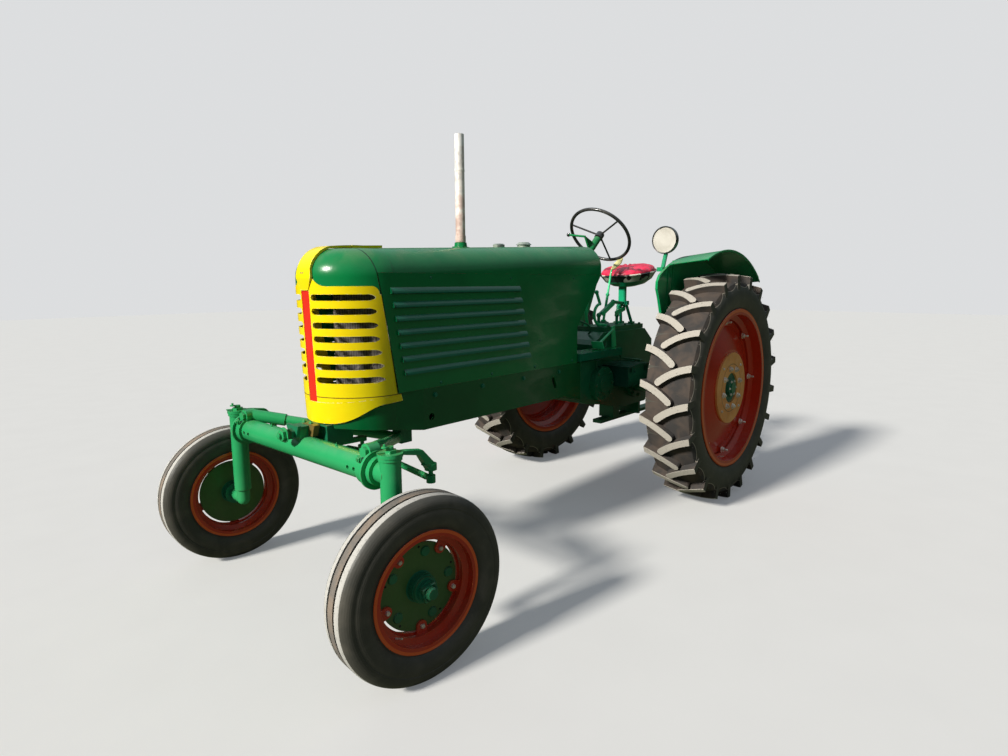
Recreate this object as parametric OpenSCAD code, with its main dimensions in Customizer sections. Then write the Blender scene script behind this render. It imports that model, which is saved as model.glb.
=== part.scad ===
// Vintage row-crop tractor with an adjustable wide front axle.
// +X points forward, +Y to the driver's left and +Z up. The origin is on the ground,
// midway between the back of the rear tyres and the front of the front tyres.

/* [Stance] */
// Distance from the rear axle to the kingpins
wheelbase = 2570; // [2540:5:2620]
// Distance from the centre plane to the middle of a rear tyre
rear_half_tread = 740; // [735:5:760]
// Distance from the centre plane to a kingpin
kingpin_half = 600; // [590:5:620]
// Distance from a kingpin out to the middle of its tyre
wheel_offset = 165; // [160:1:175]
// Turn of the parked front wheels, negative to the driver's right
parked_steer = -6; // [-8:1:0]

/* [Rear wheels] */
// Radius of a rear tyre over its lugs
rear_tyre_r = 735; // [725:5:745]
// Width of a rear tyre
rear_tyre_w = 315; // [305:5:320]
// Number of lugs on each side of a rear tyre
rear_lugs = 21; // [19:1:23]
// Height of a lug above the tread
lug_h = 38; // [32:1:42]
// Width of a lug
lug_w = 40; // [36:1:44]
// Bead seat radius of a rear rim
rear_rim_r = 482.6; // [480:0.1:484]
// Width of a rear rim between its flanges
rear_rim_w = 268; // [260:2:272]
// Radius of the yellow hub plate
hub_plate_r = 230; // [222:1:236]
// Radius of the hole in the middle of the hub plate
hub_hole_r = 98; // [92:1:104]
// Radius of the rear axle shaft in its hub
rear_shaft_r = 35; // [30:1:40]

/* [Front wheels] */
// Radius of a front tyre over its ribs
front_tyre_r = 345; // [340:1:350]
// Width of a front tyre
front_tyre_w = 150; // [146:1:154]
// Bead seat radius of a front rim
front_rim_r = 203.2; // [202:0.1:205]
// Width of a front rim between its flanges
front_rim_w = 118; // [114:1:122]
// Depth of the grooves between a front tyre's ribs
rib_groove = 9; // [7:1:12]
// Number of bolted lugs that hold a front rim
front_lugs = 5; // [4:1:6]
// Radius of the green disc in a front wheel
front_disc_r = 162; // [156:1:166]
// Radius of the stub axle in a front hub
stub_r = 20; // [18:1:24]

/* [Front axle] */
// Radius of the main axle tube
axle_tube_r = 51; // [46:1:54]
// Distance from the centre plane to the end of the main axle tube
axle_tube_half = 500; // [490:5:510]
// Height of the main axle tube's centre line
axle_tube_z = 720; // [715:1:725]
// Radius of a kingpin housing
kingpin_tube_r = 40; // [36:1:44]
// Radius of a kingpin
kingpin_r = 25; // [22:1:28]
// Length of each steering arm and of the centre arm
steer_arm = 180; // [170:5:190]
// Height of the tie rods' centre line
tie_rod_z = 664; // [662:1:668]
// Radius of a radius rod
radius_rod_r = 24; // [20:1:27]

/* [Hood and nose] */
// Half the width of the hood, and the radius of the rounded nose
hood_half = 262; // [255:1:266]
// Distance from the kingpins back to the centre of the rounded nose
nose_back = 308; // [304:1:312]
// Height of the seam between the hood top and the side panels
seam_z = 1460; // [1450:5:1470]
// Height of the hood's crown at its front end
hood_front_z = 1571; // [1565:1:1577]
// Height of the hood's crown at its rear end
hood_rear_z = 1642; // [1620:5:1645]
// Distance from the rear axle to the hood's rear end
hood_rear = 650; // [640:5:660]
// Radius of the hood's shoulders
shoulder_r = 127; // [120:1:130]
// Thickness of the hood and nose sheets
sheet = 4; // [3:0.5:5]
// Height of the yellow moulding over the sheets beside it
band_rise = 12; // [8:1:14]
// Half the width of the yellow moulding
band_half = 49; // [44:1:52]
// Number of louvres pressed in a side panel
louvres = 7; // [5:1:7]
// Height of a louvre
louvre_h = 27; // [24:1:32]
// Number of slots on each side of the grille
slots = 7; // [5:1:7]
// Height of a grille slot
slot_h = 26; // [22:1:28]
// Width of the red strip down the grille
strip_w = 58; // [54:1:62]

/* [Frame and driveline] */
// Height of the main frame's underside
frame_low = 750; // [745:1:755]
// Height of the main frame's upper edge, where the side panels stand
frame_top = 940; // [935:1:945]
// Thickness of the main frame's walls
frame_wall = 16; // [12:1:20]
// Outer radius of a rear axle housing
housing_r = 95; // [85:1:100]
// Radius of the power take-off shaft
pto_r = 17.5; // [17:0.5:18]
// Radius of the hole in the drawbar
drawbar_hole_r = 13; // [11:1:15]

/* [Driver's place] */
// Radius of the steering wheel's rim to the middle of the grip
steering_wheel_r = 215; // [205:5:225]
// Tilt of the steering column from level
column_tilt = 42; // [38:1:46]
// Half the width of the seat
seat_half = 208; // [200:1:215]
// Height of the seat pan's rim
seat_z = 1492; // [1485:1:1500]
// Height of the driver's platforms
platform_z = 992; // [985:1:1000]
// Radius of the fenders' crown about the rear axle
fender_r = 880; // [870:5:890]
// Distance from the centre plane to a fender's inner wall
fender_in = 540; // [535:1:548]
// Distance from the centre plane to a fender's outer edge
fender_out = 805; // [780:5:820]
// Radius of the head lamp
lamp_r = 84; // [78:1:90]
// Outer radius of the exhaust pipe
exhaust_r = 25; // [22:1:28]
// Height of the exhaust pipe's mouth
exhaust_top = 2170; // [2100:10:2200]

/* [Hidden] */
$fn = 64;

green = [0.0, 0.28, 0.12];
yellow = [0.95, 0.78, 0.05];
red = [0.75, 0.1, 0.04];
rubber = [0.09, 0.09, 0.09];
dark = [0.12, 0.12, 0.12];
steel = [0.7, 0.7, 0.7];

// Running clearance of pins and shafts, and the gap of parts that only meet
run = 0.05;
gap = 0.3;
// A length that reaches past whatever is cut
far = 4000;

// Front tyre: round sidewalls about a ring, and round shoulders beside a flat crown
front_section = front_tyre_w / 2;
front_ring_r = (front_tyre_r + front_rim_r) / 2;
front_shoulder_r = 40;
front_crown = front_section - front_shoulder_r - 3;

// How far the turned front tyre reaches ahead of its kingpin, which places the origin
front_reach = (wheel_offset + front_crown) * sin(-parked_steer)
    + (front_tyre_r - front_shoulder_r) * cos(parked_steer) + front_shoulder_r;
rear_axle_x = (rear_tyre_r - front_reach - wheelbase) / 2;
function ahead(d) = rear_axle_x + d;
kingpin_x = ahead(wheelbase);

// Rear tyre: round sidewalls about a ring, a crowned tread, and a second crown over the lugs
rear_section = rear_tyre_w / 2;
tread_r = rear_tyre_r - lug_h;
rear_ring_r = (rear_rim_r + 12 + tread_r) / 2;
tread_crown_r = 420;
lug_crown_r = 900;
// A lug's centre line is an arc: its radius, and its slopes to the axle's direction at both ends
lug_arc_r = 408;
lug_slope_in = 42;
lug_slope_out = 12;
// How far a lug starts beyond the tyre's middle, and the turn of the parked wheel
lug_start = 36;
lug_phase = 8.6;
flange_h = 25;

// Nose: centre of its plan, heights of its pieces and the middle of the shoulders
nose_centre = wheelbase - nose_back;
shoulder_z = hood_front_z - 132;
crown_r = 1500;
grille_low = 912;
grille_rear_rise = 23;
chin_low = 818;
cheek_low = 1405;
cheek_corner_r = 75;
cheek_in = 42;
strip_top = 1388;
slot_pitch = 58.2;
slot_first = 1009;
// The slanted seam between the nose and the panels behind it
seam_low = nose_centre - 14;
seam_slant = 0.1715;
function seam_x(z) = seam_low + seam_slant * (z - 935);

// Hood: its tilt, and where the moulding along its top is cut and ends
hood_tilt = atan((hood_rear_z - hood_front_z) / (nose_centre - hood_rear));
band_joint = nose_centre + 54;
band_end = nose_centre - 112;

// Main frame: its rear end, the middle of its round front, and its cavity's floor
frame_rear = 860;
frame_nose_r = hood_half - 21 - sheet - gap;
frame_floor = frame_low + frame_wall;
engine_top = 1410;

// Driveline
gearbox_half = 150;
gearbox_top = 1085;
cover_top = 1116;
cover_half = 118;
cover_rear = -150;
clutch_half = 200;
clutch_rear = 530;
platform_front = 893;
platform_deep = 45;

// Front axle: its pivot, and where the radius rods start and are anchored
pivot_z = 788;
pivot_r = 12;
rod_start_z = 790;
anchor_d = wheelbase - 520;
anchor_z = 662;
centre_pivot_d = wheelbase - 110;
// The right tie rod's eye hangs below the left one's on the same pin
function rod_z(side) = side > 0 ? tie_rod_z : tie_rod_z - 24;

// Fender: its crown's radius at the inner wall, and the angles where the crown ends
fender_in_r = fender_r - 29;
crown_front = 68;
crown_rear = 129;

lamp_x = 300;
lamp_y = 500;
lamp_z = 735 + fender_r + 62;

// The wheels' own frame has its axle along +Y, outboard, and its centre at the tyre's.
module spin() rotate([-90, 0, 0]) rotate_extrude($fn = 96) children();
module ring(r_in, r_out, from, to) translate([0, from, 0]) rotate([-90, 0, 0])
    difference() {
        cylinder(r = r_out, h = to - from);
        translate([0, 0, -1]) cylinder(r = r_in, h = to - from + 2);
    }
module rod(r, from, to) translate([0, from, 0]) rotate([-90, 0, 0])
    cylinder(r = r, h = to - from);

module at_rear(side) translate([rear_axle_x, 0, rear_tyre_r])
    mirror([0, side < 0 ? 1 : 0, 0]) translate([0, rear_half_tread, 0]) children();
module at_kingpin(side) translate([kingpin_x, side * kingpin_half, 0])
    rotate([0, 0, parked_steer]) mirror([0, side < 0 ? 1 : 0, 0]) children();
module at_front(side) at_kingpin(side)
    translate([0, wheel_offset, front_tyre_r]) children();
module both_sides() for (side = [1, -1])
    mirror([0, side < 0 ? 1 : 0, 0]) children();

// A shape in the side view: its 2-D x is the distance ahead of the rear axle, its y is height.
module side_view(from = -far, to = far) translate([rear_axle_x, to, 0])
    rotate([90, 0, 0]) linear_extrude(height = to - from) children();
// A shape in the front view: its 2-D x is the row's Y, its y is height.
module front_view(from = 0, to = far) translate([ahead(from), 0, 0])
    rotate([90, 0, 90]) linear_extrude(height = to - from) children();
module plan_view(from, to) translate([rear_axle_x, 0, from])
    linear_extrude(height = to - from) children();
// A straight rod between two points
module bar(from, to, r) {
    d = to - from;
    translate(from) rotate([0, acos(d[2] / norm(d)), atan2(d[1], d[0])])
        cylinder(r = r, h = norm(d));
}

// Wheels

// Section of a rim: seat radius, width between flanges, wall, depth of its well, flange height
module rim_section(r, w, wall, well, flange) {
    polygon([[r + flange, w / 2], [r, w / 2], [r, w * 0.27], [r - well, w * 0.2],
        [r - well, -w * 0.2], [r, -w * 0.27], [r, -w / 2], [r + flange, -w / 2],
        [r + flange, -w / 2 - wall], [r - wall, -w / 2 - wall], [r - wall, -w * 0.27 - wall],
        [r - well - wall, -w * 0.2 - wall], [r - well - wall, w * 0.2 + wall],
        [r - wall, w * 0.27 + wall], [r - wall, w / 2 + wall], [r + flange, w / 2 + wall]]);
    for (s = [-1, 1]) translate([r + flange, s * (w / 2 + wall / 2 + 0.5)])
        circle(r = wall / 2 + 0.5, $fn = 24);
}

module flange_grooves(r, w, flange) for (s = [-1, 1])
    translate([r, s > 0 ? w / 2 - gap : -w / 2 + gap - 60]) square([flange, 60]);

module rear_carcass() difference() {
    intersection() {
        union() {
            translate([rear_ring_r, 0]) circle(r = rear_section);
            translate([rear_rim_r + gap, gap - rear_rim_w / 2])
                square([40, rear_rim_w - 2 * gap]);
        }
        translate([tread_r - tread_crown_r, 0]) circle(r = tread_crown_r, $fn = 128);
        translate([rear_rim_r + gap, -far / 2]) square([far, far]);
    }
    flange_grooves(rear_rim_r, rear_rim_w, flange_h + 10);
}

// Where lugs stand: from inside the carcass out to the lugs' crown
module lug_zone() intersection() {
    translate([rear_ring_r + 20, -rear_section + 5])
        square([far, rear_tyre_w - 10]);
    translate([rear_tyre_r - lug_crown_r, 0]) circle(r = lug_crown_r, $fn = 240);
}

// A lug's outline looking in at the tread: x is across the tyre, y is the way it trails
module lug_outline() {
    middle_x = lug_arc_r * sin(lug_slope_in) - lug_start;
    middle_y = -lug_arc_r * cos(lug_slope_in);
    translate([middle_x, middle_y]) intersection() {
        difference() {
            circle(r = lug_arc_r + lug_w / 2, $fn = 240);
            circle(r = lug_arc_r - lug_w / 2, $fn = 240);
        }
        polygon([[0, 0], [-far * sin(lug_slope_in), far * cos(lug_slope_in)],
            [0, 2 * far], [-far * sin(lug_slope_out - 6), far * cos(lug_slope_out - 6)]]);
    }
    translate([-lug_start, 0]) circle(r = lug_w / 2 - 1, $fn = 24);
}
lug_trail = lug_arc_r * (cos(lug_slope_out) - cos(lug_slope_in));
lug_turn = lug_trail / 2 / rear_tyre_r * 180 / PI;

module rear_tyre(side) color(rubber) at_rear(side) {
    spin() rear_carcass();
    intersection() {
        spin() lug_zone();
        for (i = [0:rear_lugs - 1], s = [0, 1]) mirror([0, s, 0])
            rotate([0, -lug_phase - lug_turn - (i + s / 2) * 360 / rear_lugs, 0])
                translate([rear_ring_r, 0, -lug_trail / 2]) rotate([90, 0, 90])
                linear_extrude(height = 200) lug_outline();
    }
}

clamps = 8;
module rear_rim(side) color(red) at_rear(side) {
    spin() {
        rim_section(rear_rim_r, rear_rim_w, 8, 30, flange_h);
        // two rails that stand in from the well, then the dished disc that they carry
        for (w = [-30, 34]) translate([rear_rim_r - 64, w]) square([30, 8]);
        polygon([[hub_hole_r + 14, 92], [hub_plate_r + 14, 92], [rear_rim_r - 84, 42],
            [rear_rim_r - 46, 42], [rear_rim_r - 46, 50], [rear_rim_r - 80, 50],
            [hub_plate_r + 18, 102], [hub_hole_r + 14, 102]]);
    }
    // clamps that grip the rails
    for (i = [0:clamps - 1]) rotate([0, -42 - i * 360 / clamps, 0])
        translate([rear_rim_r - 74, 48, -18]) cube([36, 14, 36]);
}

module rear_hub(side) at_rear(side) {
    color(green) {
        ring(rear_shaft_r + run, 92, -175, 98);
        ring(rear_shaft_r + run, hub_hole_r + 12, 96, 102 + gap);
        ring(rear_shaft_r + run, 58, 100, 122);
    }
    color(yellow) ring(hub_hole_r, hub_plate_r, 102 + gap, 114);
}

module front_tyre(side) color(rubber) at_front(side) spin() difference() {
    intersection() {
        union() {
            translate([front_ring_r, 0]) circle(r = front_section);
            for (s = [-1, 1]) translate([front_tyre_r - front_shoulder_r, s * front_crown])
                circle(r = front_shoulder_r);
            translate([front_ring_r, -front_crown])
                square([front_tyre_r - front_ring_r, 2 * front_crown]);
            translate([front_rim_r, gap - front_rim_w / 2])
                square([30, front_rim_w - 2 * gap]);
        }
        translate([front_rim_r + gap, -front_section])
            square([front_tyre_r - front_rim_r - gap, front_tyre_w]);
    }
    flange_grooves(front_rim_r, front_rim_w, 17 + 5);
    // two grooves leave three ribs
    for (s = [-1, 1]) translate([front_tyre_r - rib_groove, s * 21 - 5])
        square([rib_groove + 1, 10]);
}

module front_rim(side) color(red) at_front(side) {
    spin() rim_section(front_rim_r, front_rim_w, 5, 22, 17);
    for (i = [0:front_lugs - 1]) rotate([0, 18 + i * 360 / front_lugs, 0])
        translate([0, 4, 0]) rotate([-90, 0, 0]) linear_extrude(height = 8) {
            translate([front_disc_r - 12, 0]) circle(r = 21);
            translate([front_disc_r - 12, -21])
                square([front_rim_r - front_disc_r - 12, 42]);
        }
}

module front_hub(side) color(green) at_front(side) {
    ring(stub_r + run, front_disc_r, -6, 4 - gap);
    ring(stub_r + run, 52, -52, 34);
    ring(stub_r + run, 44, 34, 44);
    ring(stub_r + run, 38, 44, 56);
    rod(30, 56, 74);
}

// Front axle and steering

module front_axle() color(green) {
    translate([kingpin_x, 0, 0]) {
        difference() {
            union() {
                translate([0, 0, axle_tube_z]) ring(axle_tube_r - 9, axle_tube_r,
                    -axle_tube_half, axle_tube_half);
                both_sides() {
                    translate([0, 0, axle_tube_z]) {
                        rod(axle_tube_r - 9, axle_tube_half - 160, kingpin_half);
                        rod(axle_tube_r + 12, axle_tube_half - 34, axle_tube_half + 2);
                        rod(axle_tube_r + 24, axle_tube_half + 8, axle_tube_half + 20);
                        rod(axle_tube_r + 6, axle_tube_half + 20, axle_tube_half + 44);
                    }
                    translate([0, kingpin_half, 398])
                        cylinder(r = kingpin_tube_r, h = 382);
                    translate([0, kingpin_half, 776])
                        cylinder(r = kingpin_tube_r + 5, h = 12);
                    // clamp eye on top of the tube's end, with the radius rod in it
                    translate([-18, axle_tube_half - 34, axle_tube_z + axle_tube_r - 6])
                        cube([36, 36, rod_start_z - axle_tube_z - axle_tube_r + 6]);
                    translate([-24, axle_tube_half - 16, rod_start_z])
                        rotate([0, 90, 0]) cylinder(r = 31, h = 48);
                    translate([24, axle_tube_half - 16, rod_start_z])
                        rotate([0, 90, 0]) cylinder(r = 22, h = 14, $fn = 6);
                }
            }
            both_sides() translate([0, kingpin_half, 390])
                cylinder(r = kingpin_r + run, h = 410);
            for (y = [-440, -400, 400, 440]) translate([-far, y, axle_tube_z])
                rotate([0, 90, 0]) cylinder(r = 8, h = 2 * far);
        }
        // pivot lug on the middle of the tube
        difference() {
            translate([-33, -32, axle_tube_z + 30]) cube([66, 64, 54]);
            translate([0, 0, axle_tube_z]) rod(axle_tube_r - 1, -50, 50);
            translate([-40, 0, pivot_z]) rotate([0, 90, 0])
                cylinder(r = pivot_r + gap, h = 80);
        }
    }
    difference() {
        both_sides() {
            start = [kingpin_x - 18, axle_tube_half - 22, rod_start_z];
            end = [ahead(anchor_d), 0, anchor_z];
            bar(start, end, radius_rod_r);
            bar(start, start + 0.22 * (end - start), radius_rod_r + 5);
        }
        brace_anchor(gap);
    }
}

module spindle(side) color(green) at_kingpin(side) {
    translate([0, 0, 380]) cylinder(r = kingpin_r, h = 420);
    translate([0, 0, front_tyre_r]) sphere(r = 31);
    translate([0, 0, front_tyre_r]) cylinder(r = 31, h = 394 - front_tyre_r);
    translate([0, 0, 788 + gap]) cylinder(r = kingpin_tube_r + 8, h = 14);
    translate([0, 0, 800]) cylinder(r = 26, h = 14, $fn = 6);
    translate([0, 0, 812]) cylinder(r = 14, h = 14);
    translate([0, 0, front_tyre_r]) {
        rod(stub_r, 0, wheel_offset + 50);
        rod(30, 0, wheel_offset - 56);
    }
    // steering arm, rearward and down to its ball stud
    translate([0, 16, 0]) rotate([90, 0, 0]) linear_extrude(height = 32)
        polygon([[-44, 788 + gap], [-30, 788 + gap], [-30, 802], [-70, 800],
            [-135, 790], [-steer_arm - 16, 722], [-steer_arm - 16, 700],
            [-steer_arm + 16, 700], [-120, 772]]);
    translate([-steer_arm, 0, 700]) cylinder(r = 24, h = 26);
    translate([-steer_arm, 0, rod_z(side) + 18])
        cylinder(r = 9, h = 734 - rod_z(side) - 18);
}

module tie_rod(side) color(green) {
    // from the centre arm's end, at rest turned with the arm, to the steering arm's stud
    inner = [ahead(centre_pivot_d) - steer_arm * cos(parked_steer),
        -steer_arm * sin(parked_steer)];
    outer = [kingpin_x - steer_arm * cos(parked_steer),
        side * kingpin_half - steer_arm * sin(parked_steer)];
    d = outer - inner;
    len = norm(d);
    translate([inner[0], inner[1], rod_z(side)]) rotate([0, 0, atan2(d[1], d[0])]) {
        translate([36, 0, 0]) rotate([0, 90, 0]) cylinder(r = 13, h = len - 72);
        translate([36, 0, 0]) rotate([0, 90, 0]) cylinder(r = 18, h = 60);
        difference() {
            union() {
                translate([0, 0, -10]) cylinder(r = 20, h = 20);
                translate([10, -9, -8]) cube([40, 18, 16]);
            }
            translate([0, 0, -20]) cylinder(r = 9 + run, h = 40);
        }
        translate([len, 0, -15]) cylinder(r = 18, h = 30);
        translate([len - 50, -9, -8]) cube([40, 18, 16]);
    }
}

module centre_arm() color(green) translate([ahead(centre_pivot_d), 0, 0])
    rotate([0, 0, parked_steer]) {
        translate([0, 0, 690]) cylinder(r = 34, h = 28);
        translate([0, 0, 700]) cylinder(r = 20, h = frame_low - 2 - 700);
        translate([-steer_arm, -15, 694]) cube([steer_arm, 30, 20]);
        translate([-steer_arm, 0, 694]) cylinder(r = 22, h = 20);
        translate([-steer_arm, 0, 630]) cylinder(r = 9, h = 70);
    }

// Block under the frame that anchors the radius rods, grown by a clearance
module brace_anchor(grow) translate([ahead(anchor_d - 55) - grow, -34 - grow, 636 - grow])
    cube([68 + 2 * grow, 68 + 2 * grow, frame_low - 636 + grow]);

module front_bolster() color(green) difference() {
    union() {
        translate([ahead(wheelbase - 190), -95, frame_low - 26]) cube([130, 190, 90]);
        // ears before and behind the axle's pivot lug, with their cap and pin
        translate([kingpin_x - 60, -40, axle_tube_z + axle_tube_r + 2]) cube([26, 80, 41]);
        front_view(wheelbase + 34, wheelbase + 48) polygon([[-30, axle_tube_z + axle_tube_r + 2],
            [30, axle_tube_z + axle_tube_r + 2], [48, pivot_z + 36], [-48, pivot_z + 36]]);
        translate([kingpin_x - 60, -40, pivot_z + 18]) cube([106, 80, 12]);
        translate([kingpin_x - 50, 0, pivot_z]) rotate([0, 90, 0])
            cylinder(r = pivot_r, h = 106);
        translate([kingpin_x + 48, 0, pivot_z]) rotate([0, 90, 0])
            cylinder(r = 24, h = 16, $fn = 6);
        brace_anchor(0);
    }
    translate([ahead(centre_pivot_d), 0, 600]) cylinder(r = 20 + run, h = 200);
    frame_solid(-gap);
}

// Frame

// The frame's side view, drawn up by inset: the belly behind, the rise under the nose
module frame_side(inset) polygon([[frame_rear - 10, frame_top + 1],
    [frame_rear - 10, frame_low - 42 + inset], [frame_rear + 160, frame_low + inset],
    [nose_centre - 150, frame_low + inset], [nose_centre + 70, frame_low + 34 + inset],
    [nose_centre + 190, frame_low + 48 + inset], [nose_centre + 400, frame_low + 50 + inset],
    [nose_centre + 400, frame_top + 1]]);
// The frame as one solid, drawn in by inset: straight sides that draw in to a round front
module frame_solid(inset, top = frame_top) intersection() {
    side = hood_half - inset;
    nose_side = frame_nose_r - inset - 3;
    union() {
        plan_view(600, top) polygon([[frame_rear, side], [nose_centre - 152, side],
            [nose_centre, nose_side], [nose_centre, -nose_side], [nose_centre - 152, -side],
            [frame_rear, -side]]);
        plan_view(600, top) translate([nose_centre, 0]) circle(r = frame_nose_r - inset);
    }
    side_view() frame_side(inset);
}
module main_frame() color(green) difference() {
    frame_solid(0);
    frame_solid(frame_wall, frame_top + 1);
    // slanted slot and round hole in each side
    side_view() {
        translate([1122, 846]) rotate(-24) {
            translate([0, -22]) circle(r = 13);
            translate([0, 22]) circle(r = 13);
            translate([-13, -22]) square([26, 44]);
        }
        translate([nose_centre - 200, frame_low + 54]) circle(r = 17);
    }
}

// Hood and nose

// Half the width is hood_half + grow, and y is the height above the shoulders' middle.
module hood_section(grow) intersection() {
    union() {
        translate([-hood_half - grow, -900]) square([2 * (hood_half + grow), 900]);
        for (s = [-1, 1]) translate([s * (hood_half - shoulder_r), 0])
            circle(r = shoulder_r + grow);
        translate([shoulder_r - hood_half, -1])
            square([2 * (hood_half - shoulder_r), shoulder_r + grow + 9]);
    }
    translate([0, hood_front_z - shoulder_z - crown_r])
        circle(r = crown_r + grow, $fn = 360);
}

// The nose's half section tapers down to the chin.
module nose_profile(grow) intersection() {
    translate([0, shoulder_z]) hood_section(grow);
    polygon([[0, 780], [hood_half - 21 + grow, 780], [hood_half - 14 + grow, 925],
        [hood_half - 2 + grow, 1340], [hood_half + grow, cheek_low],
        [hood_half + 60, cheek_low], [hood_half + 60, 1700], [0, 1700]]);
}
module nose_solid(grow) translate([ahead(nose_centre), 0, 0]) {
    intersection() {
        rotate_extrude($fn = 128) nose_profile(grow);
        translate([0, -far / 2, 0]) cube([far, far, far]);
    }
    rotate([90, 0, -90]) linear_extrude(height = 60) {
        nose_profile(grow);
        mirror([1, 0]) nose_profile(grow);
    }
}
module nose_shell(grow = 0, inner = -sheet) difference() {
    nose_solid(grow);
    nose_solid(inner);
}
// Behind the nose's centre the hood's section rises to the rear, and the nose laps over it.
nose_lap = 0.5;
module hood_solid(grow) difference() {
    translate([ahead(nose_centre), 0, shoulder_z]) rotate([0, hood_tilt, 0])
        rotate([90, 0, -90]) linear_extrude(height = 2200) hood_section(grow);
    side_view() polygon([[nose_centre, 0], [nose_centre + 900, 0],
        [nose_centre + 900, 2000], [nose_centre, 2000]]);
}

// What lies ahead of the slanted seam, moved forward by shift
module ahead_of_seam(shift = 0) side_view()
    polygon([[seam_x(500) + shift, 500], [seam_x(1800) + shift, 1800],
        [far, 1800], [far, 500]]);

module cheek_shape(grow) {
    translate([cheek_in + cheek_corner_r, cheek_low + cheek_corner_r])
        circle(r = cheek_corner_r + grow);
    translate([cheek_in + cheek_corner_r, cheek_low - grow]) square([400, 400]);
    translate([cheek_in - grow, cheek_low + cheek_corner_r]) square([400, 400]);
}
module cheek_region(grow) {
    front_view(nose_centre - 60) {
        cheek_shape(grow);
        mirror([1, 0]) cheek_shape(grow);
    }
    // the grille's upper rear corner is round
    corner = seam_x(cheek_low) + 34;
    side_view() difference() {
        translate([corner - 80, cheek_low - 34]) square([80, 36]);
        translate([corner, cheek_low - 34]) circle(r = 34 - grow);
    }
}

module nose_cheeks() color(green) intersection() {
    nose_shell();
    ahead_of_seam();
    cheek_region(0);
}

module slot_shapes() front_view(nose_centre - 60) for (i = [0:slots - 1], s = [0, 1])
    translate([0, slot_first + i * slot_pitch]) mirror([s, 0]) {
        inner = strip_w / 2 + 9 + slot_h / 2;
        outer = hood_half - 14 - slot_h / 2;
        translate([inner, 0]) circle(r = slot_h / 2);
        translate([outer, 0]) circle(r = slot_h / 2);
        translate([inner, -slot_h / 2]) square([outer - inner, slot_h]);
    }

grille_rise = 2;
module grille() color(yellow) difference() {
    intersection() {
        nose_shell(grille_rise);
        ahead_of_seam();
        side_view() polygon([[seam_low - 20, grille_low + grille_rear_rise],
            [nose_centre + 240, grille_low], [far, grille_low], [far, 1800],
            [seam_low - 20, 1800]]);
    }
    cheek_region(gap);
    slot_shapes();
    // recess of the strip
    front_view(nose_centre) translate([-strip_w / 2, grille_low - 1])
        square([strip_w, strip_top - grille_low + 1]);
    // the cheeks meet above under the moulding
    front_view(nose_centre - 60) translate([-cheek_in, cheek_low + 45])
        square([2 * cheek_in, 400]);
}

module grille_strip() color(red) intersection() {
    nose_shell();
    front_view(nose_centre) translate([gap - strip_w / 2, grille_low + gap])
        square([strip_w - 2 * gap, strip_top - grille_low - 2 * gap]);
}

module ahead_of_nose_centre() translate([ahead(nose_centre) - 4 * nose_lap, -far / 2, 0])
    cube([far, far, far]);
// Raised moulding over the top of the nose, and its strip along the hood
module band_taper() translate([ahead(nose_centre), 0, 0]) rotate_extrude($fn = 128)
    polygon([[0, strip_top], [hood_half + 4, strip_top],
        [hood_half + band_rise, strip_top + 50], [600, strip_top + 50], [600, 1800],
        [0, 1800]]);
module nose_band() color(yellow) {
    difference() {
        intersection() {
            nose_solid(band_rise);
            band_taper();
            front_view(band_joint) polygon([[-strip_w / 2, strip_top],
                [strip_w / 2, strip_top], [band_half + 8, 1446], [band_half, 1482],
                [band_half, 1800], [-band_half, 1800], [-band_half, 1482],
                [-band_half - 8, 1446]]);
        }
        nose_solid(grille_rise + gap);
    }
    difference() {
        intersection() {
            union() {
                intersection() {
                    nose_solid(band_rise + nose_lap);
                    ahead_of_nose_centre();
                }
                hood_solid(band_rise);
            }
            front_view(band_end, band_joint - 3) translate([-band_half, 1500])
                square([2 * band_half, 400]);
        }
        intersection() {
            nose_solid(gap + nose_lap);
            ahead_of_nose_centre();
        }
        hood_solid(gap);
    }
}

// The chin's lower edge sweeps up from the front to the rear corner
function chin_edge(t) = [nose_centre + 243 - 195 * t,
    chin_low + 80 * (1 - cos(180 * t)) / 2];
module chin_panel() color(yellow) intersection() {
    nose_shell(grille_rise);
    side_view() polygon(concat([[far, chin_low], [far, grille_low - gap],
        [nose_centre + 240, grille_low - gap],
        [seam_low - 20, grille_low + grille_rear_rise - gap],
        [seam_x(grille_low) - 26, 902]],
        [for (t = [1:-0.125:0]) chin_edge(t)]));
}

module hood() color(green) difference() {
    union() {
        difference() {
            hood_solid(0);
            hood_solid(-sheet);
        }
        difference() {
            intersection() {
                nose_shell(nose_lap, nose_lap - sheet);
                front_view(nose_centre - 4 * nose_lap, nose_centre + 200) translate([-400, 1200])
                    square([800, 600]);
            }
            ahead_of_seam(-gap);
        }
    }
    side_view() {
        translate([-far, 0]) square([2 * far, seam_z + gap]);
        polygon([[0, 0], [hood_rear, seam_z - 100], [hood_rear, seam_z + 60],
            [hood_rear + 22, 1700], [0, 1700]]);
    }
    translate([ahead(1600), 0, 1400]) cylinder(r = exhaust_r + gap, h = 400);
}

module hood_caps() difference() {
    union() {
        color(steel) translate([ahead(1300), 0, 1585]) {
            cylinder(r = 33, h = 42);
            translate([0, 0, 42]) cylinder(r1 = 33, r2 = 24, h = 6);
        }
        color(green) translate([ahead(1080), 0, 1590]) {
            cylinder(r = 38, h = 46);
            translate([0, 0, 46]) cylinder(r1 = 46, r2 = 30, h = 14);
        }
    }
    hood_solid(gap);
}

// Side panels: louvre i starts and ends at these distances ahead of the rear axle
louvre_pitch = 59.5;
louvre_first = 1015;
function louvre_rear(i) = 1345 + i * 14;
function louvre_front(i) = seam_x(louvre_first + i * louvre_pitch) - 44;
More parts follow.
